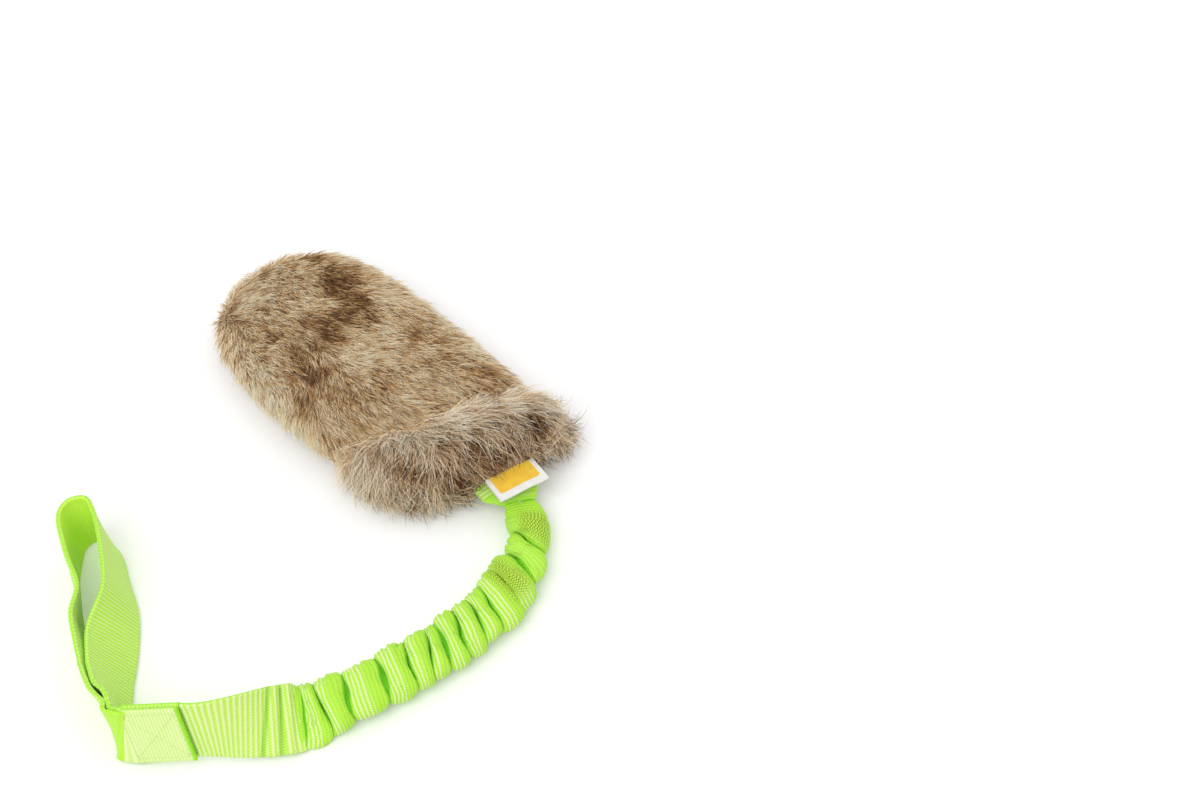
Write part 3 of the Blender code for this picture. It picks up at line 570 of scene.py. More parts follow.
def ribbonPiece(name, middle, across, face, finish, ribPitch, relief, sealEnd=False, wrinkles=()):
    # frames of the route become the webbing laid along it, wrinkled and with its ribs raised
    width, thick = ribbonSection().T[:, None, :]
    length = (runAlong(middle) * 1000)[:, None]
    ribs = relief * np.cos(2 * pi * length / ribPitch)
    outs = thick + np.sign(thick) * ribs * (np.abs(width) < ribbon["plainEdge"])
    plain = np.zeros_like(outs)
    for upper, lower, reach, drop in wrinkles:
        wave = bell((length - lower - (upper - lower) * (1 + width / webHalf) / 2) / reach)
        outs = outs + drop / 1000 * wave
        plain += wave * (drop < 0)
    points = middle[:, None] + across[:, None] * width[..., None] + face[:, None] * outs[..., None]
    points[..., 2] = np.maximum(points[..., 2], 0.0002)
    weave = np.stack([length + 0 * width, width * 1000 + 0 * length], axis=-1)
    sealed = (np.abs(width) > webHalf - ribbon["sealedEdge"]) + 0.0 * length
    if sealEnd:
        sealed[-3:] = 1.0
    plain = np.clip(plain * 1.3, 0, 1)
    # in the wrinkles' valleys the ribs fade, and the lowered crest paints the webbing there in shade
    layers = {"crest": 0.8 - 0.5 * plain, "ribbed": 1.0 - 0.9 * plain, "sealed": sealed}
    return sheetFromGrid(name, points, {"weave": weave}, layers, finish)


def buildFlatStrap():
    distance = np.linspace(route["bungee"] - 0.003, strapLength + 0.0002, ribbon["rows"])
    middle, _, across, face = strapFrames(distance)
    wrinkles = ribbon["wrinkles"]
    name = "flat_strap_cloth"
    piece = ribbonPiece(name, middle, across, face, flatPaintedLightWebbing, *ribbon["faceRibs"], wrinkles=wrinkles)
    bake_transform(piece)
    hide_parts("flat_strap")


loopPlaces = (
    # share of the loop's length, share of its width, roll in degrees
    (0.100, 0.190, 98), (0.156, 0.220, 108), (0.225, 0.190, 117), (0.296, 0.147, 122), (0.436, -0.020, 128),
    (0.591, -0.330, 112), (0.739, -0.365, 105), (0.879, -0.350, 102), (0.976, -0.195, 92),
    (1.014, -0.035, 82),
    (1.011, 0.215, 76), (0.961, 0.425, 78), (0.826, 0.530, 88), (0.739, 0.530, 92), (0.619, 0.510, 97),
    (0.500, 0.600, 85), (0.386, 0.440, 68), (0.296, 0.330, 59), (0.225, 0.340, 63), (0.156, 0.365, 72),
    (0.100, 0.340, 82),
)


def restingHeight(roll):
    # how high the middle of a rolled strap lies when its lowest corner touches the floor
    half, cut = thickHalf, thickHalf / 2
    corners = [(webHalf, half - cut), (webHalf - cut, half)]
    return max(a * abs(sin(roll)) + o * abs(cos(roll)) for a, o in corners)


lapTurn = heading(1.0)
lapAlong = np.array([cos(lapTurn) * cos(lapPitch), sin(lapTurn) * cos(lapPitch), sin(lapPitch)])
lapAcross = rolledAcross(lapAlong, np.array(route["edgeRoll"]))
lapFace = unit(np.cross(lapAcross, lapAlong))
loopAxis = np.array([cos(lapTurn + route["loopTurn"]), sin(lapTurn + route["loopTurn"]), 0])


def lapPoint(distance, out=0.0):
    corner = strapMiddle(strapLength)
    corner[2] = restingHeight(route["edgeRoll"]) + route["lapLift"]
    return corner + lapAlong * (distance + 0.0004) + lapFace * out


def bendPoint(share, out):
    angle = lapTurn - route["bendTurn"] * share
    centre = np.array([sin(lapTurn), -cos(lapTurn), 0]) * route["bendRadius"]
    arm = np.array([sin(angle), -cos(angle), 0]) * (route["bendRadius"] + out)
    point = lapPoint(route["lapLength"]) + centre - arm
    point[2] = restingHeight(route["edgeRoll"]) + 0.0004 + out * cos(route["edgeRoll"])
    return point


def smoothThrough(knots, steps):
    # a curve through points and their widths, at even shares between each two
    knots = np.array(knots)
    knots = np.concatenate([2 * knots[:1] - knots[1:2], knots, 2 * knots[-1:] - knots[-2:-1]])
    knots[0, 1], knots[-1, 1] = knots[1, 1], knots[-2, 1]
    share = (np.arange(steps) / steps)[:, None, None]
    parts = []
    for before, start, end, after in zip(knots, knots[1:], knots[2:], knots[3:]):
        bend = 2 * before - 5 * start + 4 * end - after
        rest = 3 * (start - end) + after - before
        parts.append((2 * start + (end - before) * share + bend * share**2 + rest * share**3) / 2)
    curve = np.concatenate([*parts, knots[-2:-1]])
    return curve[:, 0], curve[:, 1]


def handleLine():
    layer = route["webThickness"] + route["lapGap"]
    laps = np.linspace(0.0, route["lapLength"], 7)
    out, back = [
        [lapPoint(d, gap) for d in laps] + [bendPoint(b, gap) for b in (1 / 3, 2 / 3, 1.0)]
        for gap in (0.0, layer)
    ]
    left = np.array([-loopAxis[1], loopAxis[0], 0])
    places = []
    for alongShare, acrossShare, degrees in loopPlaces:
        point = lapPoint(route["lapLength"]) + loopAxis * alongShare * route["loopLength"]
        point = point + left * acrossShare * route["loopWidth"]
        point[2] = restingHeight(radians(degrees)) + 0.0004
        places.append(point)
    line = [out[-1], *places, back[-1]]
    knots = [(point, lapAcross) for point in out]
    for i, (*_, degrees) in enumerate(loopPlaces):
        across = rolledAcross(unit(line[i + 2] - line[i]), np.array(radians(degrees)))
        knots.append((places[i], across + (lapAcross if i == 0 else 0)))
    knots += [(point, lapAcross) for point in reversed(back)]
    points, widths = smoothThrough(knots, 10)
    along = unit(np.gradient(points, axis=0))
    across = unit(widths - along * np.sum(widths * along, axis=1, keepdims=True))
    return points, across, unit(np.cross(across, along))


def buildHandle():
    middle, across, face = handleLine()
    name = "handle_cloth"
    piece = ribbonPiece(name, middle, across, face, handleWebbing, *ribbon["backRibs"], sealEnd=True)
    for finish in (lapPaintedLightWebbing, innerPaintedLightWebbing, foldWebbing):
        piece.data.materials.append(finish)
    lengths = runAlong(middle) * 1000
    onward = (middle - lapPoint(route["lapLength"])) @ loopAxis / route["loopLength"]
    lapFrom = lengths[-1] - route["lapLength"] * 1000 - ribbon["lapStart"]
    weave = piece.data.uv_layers["weave"].data
    # the lap's outer layer has a paler base, painted light for a face that lies up to the lamps, with a plain
    # fold; the loop's far inner side is smooth, and painted bright against the shade inside the loop
    for part in piece.data.polygons:
        here = min(weave[corner].uv[0] for corner in part.loop_indices)
        row = min(int(np.searchsorted(lengths, here)), len(lengths) - 1)
        if here > lapFrom - ribbon["fold"]:
            part.material_index = 1 if here > lapFrom else 3
        elif onward[row] > ribbon["farShare"] and float(np.dot(part.normal, face[row])) > 0.5:
            part.material_index = 2
    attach(piece, "handle")
    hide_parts("handle_webbing")


buildFlatStrap()
buildHandle()
print("flat strap and handle built")

# Threads: each seam is a row of single stitches, modelled once and copied along it

thread = {
    "length": 0.0027, "gap": 0.0003, "radius": 0.00030, "flatness": 0.8, "sunk": 0.44, "boxHalf": 0.014,
    # the elastic's tacks: turns, width and length of the zigzag, and where each starts on the strap
    "tackTurns": 6, "tackWidth": 0.0140, "tackLength": 0.0030, "nearTack": 0.0073, "farTack": 0.1937,
}


def threadMaterial(title, dark, pale):
    # two-ply polyester sewing thread: the ply's twist runs slantwise round each stitch
    made, add = newMaterial(title)
    place = add("TexCoord").outputs["Object"]
    ply = add("TexWave", place, 900.0, 1.5, 1.0, bands_direction="DIAGONAL").outputs[1]
    fluff = add("TexNoise", place, 2600.0, 2.0)
    share = add("Math.ADD", add("Math.MULTIPLY", ply, 0.7), add("Math.MULTIPLY", fluff, 0.3))
    colour = add("Mix.RGBA", share, dark, pale)
    return finishMaterial(made, add, colour, 0.5, (share, 0.6, 0.0001), {"Sheen Weight": 0.2})


limeThread = threadMaterial("limePolyesterThread", "#A8D84C", "#E8F7B4")
brownThread = threadMaterial("brownPolyesterThread", "#5E4630", "#A88A66")


def oneStitch():
    selectOnly()
    bpy.ops.mesh.primitive_uv_sphere_add(segments=6, ring_count=6, radius=1.0)
    made = bpy.context.object
    made.scale = (thread["length"] / 2, thread["radius"], thread["radius"] * thread["flatness"])
    bpy.ops.object.transform_apply(location=False, rotation=False, scale=True)
    bpy.ops.object.shade_smooth()
    return made


def stitchPiece(name, places):
    # places: (middle, direction, outward) of each stitch
    pattern = oneStitch()
    copies = []
    for middle, direction, outward in places:
        copy = pattern.copy()
        copy.data = pattern.data.copy()
        bpy.context.scene.collection.objects.link(copy)
        side = unit(np.cross(outward, direction))
        turned = np.stack([unit(direction), side, unit(np.cross(direction, side))], axis=1)
        copy.matrix_world = Matrix([[*turned[i], middle[i]] for i in range(3)] + [[0, 0, 0, 1]])
        copies.append(copy)
    bpy.data.objects.remove(pattern)
    made = joined(name, copies)
    bpy.ops.object.transform_apply(location=True, rotation=True, scale=True)
    made.data.materials.clear()
    made.data.materials.append(limeThread)
    return made


def stitchesBetween(start, end, outward):
    span = end - start
    count = max(round(float(np.linalg.norm(span)) / (thread["length"] + thread["gap"])), 1)
    return [(start + span * (i + 0.5) / count, unit(span), outward) for i in range(count)]


def boxStitch(name, node, out, facing):
    half, middle = thread["boxHalf"], route["lapLength"] / 2
    corners = [(-half, -half), (half, -half), (half, half), (-half, half)]
    spots = [lapPoint(middle + along, out) + lapAcross * across for along, across in corners]
    places = []
    for first, second in ((0, 1), (1, 2), (2, 3), (3, 0), (0, 2), (1, 3)):
        places += stitchesBetween(spots[first], spots[second], lapFace * facing)
    piece = stitchPiece(name, places)
    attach(piece, "handle")
    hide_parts(node)


def sleeveSpot(distance, across, facing):
    marks, points = sleeveShape[:2]
    row = int(np.argmin(np.abs(marks - distance)))
    middle, _, sideways, face = [part[0] for part in strapFrames(marks[row : row + 1])]
    arms = points[row] - middle
    away = np.where(arms @ face * facing > 0, np.abs(arms @ sideways - across), 1.0)
    return points[row, int(np.argmin(away))], face * facing


def barTack(name, node, start, facing):
    # a zigzag of stitches through the sleeve and the elastic inside it
    turns, width = thread["tackTurns"], thread["tackWidth"]
    spots = [
        sleeveSpot(start + thread["tackLength"] * (i % 2), width * (i / (2 * turns) - 0.5), facing)
        for i in range(2 * turns + 1)
    ]
    places = []
    for (first, out), (second, _) in zip(spots, spots[1:]):
        places += stitchesBetween(first, second, out)
    piece = stitchPiece(name, places)
    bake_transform(piece)
    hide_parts(node)


def buildStitches():
    sunk = route["webThickness"] * thread["sunk"]
    outer = route["webThickness"] + route["lapGap"] + sunk
    boxStitch("box_stitch_needle", "box_stitch_needle_thread", outer, 1)
    boxStitch("box_stitch_bobbin", "box_stitch_bobbin_thread", -sunk, -1)
    near = ("root", "bungee_near", gathers["mouthStart"], gathers["mouthEnd"])
    far = ("bungee_mid", "bungee_far", gathers["mid"], route["bungee"])
    for end, blend in (("near", near), ("far", far)):
        for side, facing in (("needle", 1), ("bobbin", -1)):
            name = f"{end}_tack_{side}"
            barTack(name, f"{name}_thread", thread[f"{end}Tack"], facing)


buildStitches()
print("stitches sewn")

# Pad: a stuffed pillow of fur backing, swelled by a short cloth run and parted at its side seam


def creaseAlong():
    return route["hemLength"] / route["padHalfLength"] - 1


def padPlace(across, along):
    corner = 0.5 + (0.8 - 0.5) * ease((along + 1) / 2)
    x = route["padHalfWidth"] * across * np.sqrt(1 - corner * along * along / 2)
    y = route["padHalfLength"] * along * np.sqrt(1 - corner * across * across / 2)
    crease = creaseAlong()
    skew = route["creaseSkew"] * ease((1 - along) / (1 - crease))
    skew = skew + (route["mouthSkew"] - route["creaseSkew"]) * ease((crease - along) / (crease + 1))
    return x + route["mouthShift"] * ((1 - along) / 2) ** 2, y - skew * across


def padHeight(across, along, upper):
    edge = np.maximum((1 - across**4) * (1 - along**4), 0.0)
    away = (along - creaseAlong()) * route["padHalfLength"] / route["creaseWidth"]
    hem = 1 + 0.30 * ease(-away / 2)
    swell = edge**0.5 * hem * (1 - (0.30 if upper else 0.25) * bell(away))
    if upper:
        return route["seamHeight"] + route["padRise"] * swell
    return route["seamHeight"] - (route["seamHeight"] + 0.0005) * swell


pad = {
    "columns": 44, "rowCount": 80, "voxel": 0.005, "pressure": 4.0, "frames": 20, "mostSwell": 0.0025,
    "startShrink": 0.985, "lump": 0.0016, "lumpScale": 38.0, "fill": 0.35, "stiffness": 12.0,
    "lowest": 0.0004,
}


def pillowShape():
    # two grids of the pad's outline, bowed up and down, and merged round their rim
    halves = []
    for upper in (True, False):
        half, places = newGrid(pad["columns"], pad["rowCount"], 2.0)
        across = np.sin(places[:, 0] * pi / 2)
        along = np.sin(places[:, 1] * pi / 2)
        x, y = padPlace(across, along)
        z = padHeight(across, along, upper)
        z[(np.abs(places[:, 0]) > 0.9999) | (np.abs(places[:, 1]) > 0.9999)] = route["seamHeight"]
        half.data.vertices.foreach_set("co", np.stack([x, y, z], axis=1).ravel())
        halves.append(half)
    made = joined("pad_pillow", halves)
    weld(made, 1e-6)
    return made


def swellPillow(piece):
    # voxel remesh, then a short cloth run under pressure, whose motion is capped
    selectOnly(piece)
    remesh = piece.modifiers.new("evenMesh", "REMESH")
    remesh.mode = "VOXEL"
    remesh.voxel_size = pad["voxel"]
    bpy.ops.object.modifier_apply(modifier=remesh.name)
    start = meshPlaces(piece)
    middle = start.mean(axis=0)
    shrunk = middle + (start - middle) * pad["startShrink"]
    piece.data.vertices.foreach_set("co", shrunk.ravel())
    cloth = piece.modifiers.new("stuffing", "CLOTH")
    cloth.settings.use_pressure = True
    cloth.settings.uniform_pressure_force = pad["pressure"]
    cloth.settings.effector_weights.gravity = 0.0
    cloth.settings.tension_stiffness = pad["stiffness"]
    for step in range(1, pad["frames"] + 1):
        bpy.context.scene.frame_set(step)
    motion = meshPlaces(piece.evaluated_get(bpy.context.evaluated_depsgraph_get())) - start
    piece.modifiers.remove(cloth)
    bpy.context.scene.frame_set(1)
    far = np.linalg.norm(motion, axis=1, keepdims=True)
    start = start + motion * np.minimum(1.0, pad["mostSwell"] / np.maximum(far, 1e-9))
    for place in start:
        if place[2] > route["seamHeight"] + 0.003:
            scaled = Vector((place[0], place[1], place[2] * 0.3)) * pad["lumpScale"]
            place[2] += pad["lump"] * noise.noise(scaled)
    start[:, 2] = np.maximum(start[:, 2], pad["lowest"])
    piece.data.vertices.foreach_set("co", start.ravel())
    subdivide = piece.modifiers.new("smoother", "SUBSURF")
    subdivide.levels = subdivide.render_levels = 1
    bpy.ops.object.modifier_apply(modifier=subdivide.name)
    return piece


def halfPillow(whole, name, upper):
    # one panel: the pillow cut at its seam, and closed there
    part = whole.copy()
    part.data = whole.data.copy()
    part.name = part.data.name = name
    bpy.context.scene.collection.objects.link(part)
    selectOnly(part)
    bpy.ops.object.mode_set(mode="EDIT")
    bpy.ops.mesh.select_all(action="SELECT")
    height = route["seamHeight"] + (0.0002 if upper else -0.0002)
    bpy.ops.mesh.bisect(
        plane_co=(0, 0, height), plane_no=(0, 0, 1), use_fill=True, clear_inner=upper, clear_outer=not upper,
    )
    bpy.ops.object.mode_set(mode="OBJECT")
    bpy.ops.object.shade_smooth_by_angle(angle=radians(50))
    return part


# Faux fur: acrylic pile, dark at the root and pale at the tip, printed in soft brown patches

furPatches = (
    # x, y, spread along x, spread along y, all in mm, then tone: below zero is darker
    (25, 84, 10, 9, -0.40), (28, 68, 10, 11, -0.50), (20, 54, 12, 12, -0.60), (17, 38, 13, 10, -0.60),
    (6, 30, 11, 8, -0.50), (-8, 34, 13, 10, -0.42), (-27, 50, 11, 12, -0.36), (-31, 22, 11, 15, -0.46),
    (-32, -1, 11, 13, -0.42), (31, -2, 9, 8, -0.40), (28, -27, 12, 8, -0.34), (38, -52, 11, 8, -0.50),
    (10, -14, 16, 7, -0.15), (-20, -22, 18, 8, -0.12),
    (52, 30, 8, 22, 0.40), (54, 0, 7, 20, 0.42), (50, -30, 8, 14, 0.30), (44, 80, 9, 9, 0.30),
    (9, 8, 14, 7, 0.20), (-52, 30, 7, 24, 0.40), (-5, 90, 16, 7, 0.16), (-36, 84, 10, 9, 0.05),
    (-5, 64, 12, 12, 0.12), (-52, -8, 8, 18, 0.36), (-6, 10, 9, 9, 0.10),
)
hemPatches = (
    (2, -68, 30, 10, 0.50), (35, -82, 24, 9, 0.50), (49, -88, 12, 9, 0.36), (-33, -54, 16, 9, 0.35),
    (-14, -80, 15, 8, -0.45), (16, -92, 15, 7, -0.60), (33, -98, 14, 7, -0.85), (-6, -90, 12, 6, -0.40),
    (-38, -90, 10, 7, -0.80), (-50, -60, 9, 16, 0.20), (56, -92, 7, 9, 0.30), (4, -103, 18, 5, -0.45),
    (-24, -66, 8, 6, -0.22), (24, -76, 7, 6, -0.25), (44, -104, 8, 6, -0.35), (-22, -94, 8, 5, 0.20),
)


def softNoise(x, y, cell, seed):
    # smooth value noise over the plan, from -1 to 1
    table = np.random.default_rng(seed).random((64, 64)) * 2 - 1
    u, v = x / cell, y / cell
    i, j = np.floor(u).astype(int), np.floor(v).astype(int)
    fu, fv = ease(u - i), ease(v - j)
    near = table[i % 64, j % 64] * (1 - fu) + table[(i + 1) % 64, j % 64] * fu
    far = table[i % 64, (j + 1) % 64] * (1 - fu) + table[(i + 1) % 64, (j + 1) % 64] * fu
    return near * (1 - fv) + far * fv


def patchTone(x, y, patches):
    # tone of the printed patches at a place in mm: each has a ragged edge that follows the nap
    x = x + 5.0 * softNoise(x, y, 9.0, 11) + 2.5 * softNoise(x, y * 0.3, 2.4, 14)
    y = y + 7.0 * softNoise(x, y, 7.0, 12) + 8.0 * softNoise(x, y * 0.2, 1.8, 13)
    return sum(amount * bell((x - cx) / sx) * bell((y - cy) / sy) for cx, cy, sx, sy, amount in patches)


def clumpOf(x, y, cell, seed):
    # the nearest of the jittered clump centres: its place, and three random numbers of its own
    table = np.random.default_rng(seed).random((64, 64, 5))
    u, v = x / cell, y / cell
    best = np.full(x.shape, 1e9)
    chosen = np.zeros((len(x), 5))
    centre = np.zeros((len(x), 2))
    for dx in (-1, 0, 1):
        for dy in (-1, 0, 1):
            i, j = np.floor(u).astype(int) + dx, np.floor(v).astype(int) + dy
            values = table[i % 64, j % 64]
            cx, cy = i + values[:, 0], j + values[:, 1]
            away = (u - cx) ** 2 + (v - cy) ** 2
            nearer = away < best
            best = np.where(nearer, away, best)
            chosen[nearer] = values[nearer]
            centre[nearer] = np.stack([cx * cell, cy * cell], axis=1)[nearer]
    return centre, chosen[:, 2:]


def rootsOn(skin, density, where, rng):
    mesh = skin.data
    mesh.calc_loop_triangles()
    corners = np.empty(len(mesh.loop_triangles) * 3, dtype=np.int32)
    mesh.loop_triangles.foreach_get("vertices", corners)
    corners = corners.reshape(-1, 3)
    normals = np.empty(len(mesh.vertices) * 3)
    mesh.vertices.foreach_get("normal", normals)
    places, normals = meshPlaces(skin), normals.reshape(-1, 3)
    a, b, c = (places[corners[:, k]] for k in range(3))
    flat = np.cross(b - a, c - a)
    area = np.linalg.norm(flat, axis=1) / 2
    facing = flat / np.maximum(area[:, None] * 2, 1e-12)
    weight = area * where((a + b + c) / 3, facing)
    count = int(weight.sum() * density)
    pick = rng.choice(len(area), size=count, p=weight / weight.sum())
    u, v = rng.random(count), rng.random(count)
    over = u + v > 1
    u, v = np.where(over, 1 - u, u), np.where(over, 1 - v, v)
    root = a[pick] + (b - a)[pick] * u[:, None] + (c - a)[pick] * v[:, None]
    weights = np.stack([1 - u - v, u, v], axis=1)
    return root, unit(sum(normals[corners[pick, k]] * weights[:, k : k + 1] for k in range(3)))


def offFace(vector, normal):
    # the part of a vector that lies along the surface
    return vector - normal * np.sum(vector * normal, axis=1, keepdims=True)


def turnAbout(vector, axis, angle):
    across, onward = np.sin(angle)[:, None], np.cos(angle)[:, None]
    dot = np.sum(vector * axis, axis=1, keepdims=True)
    return vector * onward + np.cross(axis, vector) * across + axis * dot * (1 - onward)


def strandFaces(rings):
    # triangles of one closed three-sided strand, and the length of strand that each lies on
    faces, tiles = [(0, 1, 2)], [0]
    for j in range(rings - 1):
        for k in range(3):
            here, there = j * 3 + k, j * 3 + (k + 1) % 3
            faces += [(there, here, there + 3), (there + 3, here, here + 3)]
            tiles += [j, j]
    for k in range(3):
        faces.append(((rings - 1) * 3 + (k + 1) % 3, (rings - 1) * 3 + k, rings * 3))
        tiles.append(rings - 1)
    return np.array(faces), np.array(tiles)


def strandMap(roots, faces, tiles, rings):
    # the OFBake map: a tile for each length of strand, each strand at its own place in plan
    low, high = roots.min(axis=0), roots.max(axis=0)
    size = 0.0022
    local = np.zeros((len(faces), 3, 2))
    for f, face in enumerate(faces):
        for k, corner in enumerate(face):
            rise = np.clip(min(corner // 3, rings) - tiles[f], 0, 1) if f else k / 2
            shift = corner % 3 / 2 if corner < rings * 3 else 0.5
            local[f, k] = (shift * size, rise * size)
    offsets = np.array([(0.005, 0.005), (0.505, 0.005), (0.005, 0.505), (0.505, 0.505)])[tiles % 4]
    plan = ((roots - low) / (high - low))[:, None, None, :]
    return plan * 0.485 + offsets[None, :, None, :] + local[None]


def strandMesh(name, lines, normal, width, tone, finish):
    # lines is strands by points by xyz, and the last point of each is its tip
    count, knots = lines.shape[:2]
    rings = knots - 1
    taper = np.array([1.0, 0.9, 0.75, 0.5, 0.3])[:rings] if knots > 3 else np.array([1.0, 0.8])
    direction = np.empty_like(lines)
    direction[:, 1:-1] = lines[:, 2:] - lines[:, :-2]
    direction[:, 0] = lines[:, 1] - lines[:, 0]
    direction[:, -1] = lines[:, -1] - lines[:, -2]
    direction = unit(direction)
    side = unit(np.cross(direction, normal[:, None, :] + 0.001))
    up = np.cross(side, direction)
    spin = (np.array([0.5, 0.5 + 2 / 3, 0.5 + 4 / 3]) * pi)[:, None]
    rim = side[:, :rings, None] * np.cos(spin) + up[:, :rings, None] * np.sin(spin)
    radius = (width[:, None] * taper / 2)[..., None, None]
    points = (lines[:, :rings, None] + radius * rim).reshape(count, rings * 3, 3)
    points = np.concatenate([points, lines[:, -1:]], axis=1)
    points[..., 2] = np.maximum(points[..., 2], 0.0002)
    faces, tiles = strandFaces(rings)
    vertexCount = rings * 3 + 1
    corners = (faces[None] + (np.arange(count) * vertexCount)[:, None, None]).reshape(-1)
    mesh = bpy.data.meshes.new(name)
    mesh.vertices.add(count * vertexCount)
    mesh.vertices.foreach_set("co", points.astype(np.float32).ravel())
    mesh.loops.add(len(corners))
    mesh.loops.foreach_set("vertex_index", corners.astype(np.int32))
    mesh.polygons.add(count * len(faces))
    mesh.polygons.foreach_set("loop_start", np.arange(0, len(corners), 3, dtype=np.int32))
    mesh.update(calc_edges=True)
    mesh.polygons.foreach_set("use_smooth", np.ones(count * len(faces), dtype=bool))
    # half of each shading normal is the skin's, so the pile lights as one soft surface
    shading = np.concatenate([rim.reshape(count, rings * 3, 3), up[:, -1:]], axis=1)
    shading = unit(shading * 0.7 + normal[:, None, :] * 0.7)
    mesh.normals_split_custom_set_from_vertices(shading.reshape(-1, 3).astype(np.float32))
    addLayer(mesh, "along", np.tile(np.append(np.repeat(np.arange(rings), 3), rings) / rings, count))
    addLayer(mesh, "tone", np.repeat(tone, vertexCount))
    addMap(mesh, "OFBake", strandMap(lines[:, 0, :2], faces, tiles, rings))
    mesh.materials.append(finish)
    made = bpy.data.objects.new(name, mesh)
    bpy.context.scene.collection.objects.link(made)
    return made


def strandLines(root, normal, flow, lift, length, curl, look):
    # each strand rises at its lift, and eases over to the lift of its end
    count, knots = len(root), look["knots"]
    lines = np.empty((count, knots, 3))
    lines[:, 0] = root - normal * look["sunk"]
    for j in range(1, knots):
        share = (j - 0.5) / (knots - 1)
        angle = lift + (look["endLift"] - lift) * share
        course = turnAbout(flow, normal, curl * share)
        step = course * np.cos(angle)[:, None] + normal * np.sin(angle)[:, None]
        step[:, 2] -= look["droop"] * share
        lines[:, j] = lines[:, j - 1] + unit(step) * (length / (knots - 1))[:, None]
    return lines


def growPile(title, skin, look, where, nap, patches):
    # pile in pieces of at most pieceCount strands; nap gives each root's direction in the plan
    rng = np.random.default_rng(look["seed"])
    density, thick = ((look["density"], 1.0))
    root, normal = rootsOn(skin, density, where, rng)
    count, knots = len(root), look["knots"]
    x, y = root[:, 0] * 1000, root[:, 1] * 1000
    centre, chance = clumpOf(x, y, look["clump"], look["seed"] + 1)
    swirl = look["swirl"] * softNoise(x, y, look["swirlCell"], look["seed"] + 2)
    swirl += look["clumpTurn"] * (chance[:, 0] * 2 - 1) + look["strandTurn"] * rng.normal(size=count)
    flow = turnAbout(unit(offFace(nap(x, y, normal), normal)), normal, swirl)
    length = look["length"] * (1 + look["lengthSpread"] * (rng.random(count) * 2 - 1))
    length = length * (0.8 + 0.4 * chance[:, 1]) * look["grow"](x, y)
    stray = rng.random(count) < look["strays"]
    length = np.where(stray, length * 1.25, length)
    lift = look["lift"] + look["liftSpread"] * rng.normal(size=count) + 0.25 * (chance[:, 2] - 0.5)
    lift += look["rise"] * bell((y - creaseLine(x) + 6) / 7)
    lift = np.clip(np.where(stray, lift + 0.35, lift), 0.05, 1.5)
    lines = strandLines(root, normal, flow, lift, length, look["curl"] * rng.normal(size=count), look)
    # strands lean together to the middle of their clump, the more the nearer to their tips
    pull = np.zeros((count, 3))
    pull[:, :2] = (centre - np.stack([x, y], axis=1)) / 1000
    pull = offFace(pull, normal)
    reach = np.linalg.norm(pull, axis=1, keepdims=True)
    pull *= np.minimum(1.0, look["clump"] / 1000 / np.maximum(reach, 1e-6))
    gather = np.where(stray, 0.1, look["gather"] * (0.6 + 0.4 * rng.random(count)))
    for j in range(1, knots):
        lines[:, j] += pull * (gather * (j / (knots - 1)) ** 1.4)[:, None]
    lines[..., 2] = np.maximum(lines[..., 2], 0.0005 + 0.001 * rng.random((count, 1)))
    width = look["width"] * thick * (0.75 + 0.5 * rng.random(count))
    tone = look["tone"] + patchTone(x, y, patches) + look["cloud"] * softNoise(x + y * 0.3, y, 7.0, 21)
    streak = softNoise(x + 0.22 * y, y * 0.22, 1.3, 22) + softNoise(x + 0.2 * y, y * 0.30, 2.9, 23)
    tone += look["streak"] * 0.6 * streak + look["clumpTone"] * (chance[:, 1] - 0.5)
    tone += look["toneSpread"] * rng.normal(size=count)
    tone = np.where(rng.random(count) < look["guardHairs"], tone - 0.45, tone)
    tone = np.clip(tone, 0, 1)
    order = np.argsort(root[:, 1], kind="stable")
    groups = np.array_split(order, max(1, ceil(count / look["pieceCount"])))
    for i, group in enumerate(groups):
        name = f"{title}_{i + 1}"
        piece = strandMesh(name, lines[group], normal[group], width[group], tone[group], look["finish"])
        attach(piece, "root")


def furMaterial(title, ramp, roots):
    made, add = newMaterial(title)
    tone, along = [add("Attribute", attribute_name=layer).outputs["Fac"] for layer in ("tone", "along")]
    speck = add("TexNoise", add("TexCoord").outputs["Object"], 900.0, 1.0)
    varied = add("Math.ADD", tone, add("Math.MULTIPLY", add("Math.SUBTRACT", speck, 0.5), 0.12))
    bands = []
    for stops in (roots, ramp):
        band = add("ValToRGB", varied)
        while len(band.color_ramp.elements) < len(stops):
            band.color_ramp.elements.new(0.5)
        for element, (where, code) in zip(band.color_ramp.elements, stops):
            element.position, element.color = where, linearColour(code)
        bands.append(band)
    colour = add("Mix.RGBA", add("MapRange", along, 0.05, 0.75), *bands)
    return finishMaterial(made, add, colour, 0.6, gloss={"Specular IOR Level": 0.2})


def skinMaterial():
    # knitted backing with the pile's dense root layer over it, so it shows the roots' brown
    made, add = newMaterial("furBackingKnit")
    place = add("TexCoord").outputs["Object"]
    stretch = add("Mapping", {"Vector": place, "Scale": (1.0, 0.25, 1.0)})
    fine, broad = add("TexNoise", stretch, 1400.0, 3.0), add("TexNoise", place, 45.0, 3.0)
    colour = add("Mix.RGBA", fine, "#7A5F48", "#C7AB8C")
    colour = add("Mix.RGBA", add("Math.MULTIPLY", broad, 0.5), colour, "#A98B6D")
    return finishMaterial(made, add, colour, 0.8, (fine, 0.8, 0.0006), {"Sheen Weight": 0.3})


napFinish = furMaterial("fauxFurShortPile", (
    (0.0, "#6E4828"), (0.25, "#B4834F"), (0.5, "#E8BF88"), (0.75, "#FFE2B2"), (1.0, "#FFF6DC"),
), ((0.0, "#4E321A"), (0.5, "#B08654"), (1.0, "#E2C08A")))
hemFinish = furMaterial("fauxFurLongPile", (
    (0.0, "#583620"), (0.25, "#A4784C"), (0.5, "#E6BE8C"), (0.75, "#FEE0B8"), (1.0, "#FFF4DE"),
), ((0.0, "#3C2414"), (0.5, "#94704A"), (1.0, "#D8B480")))


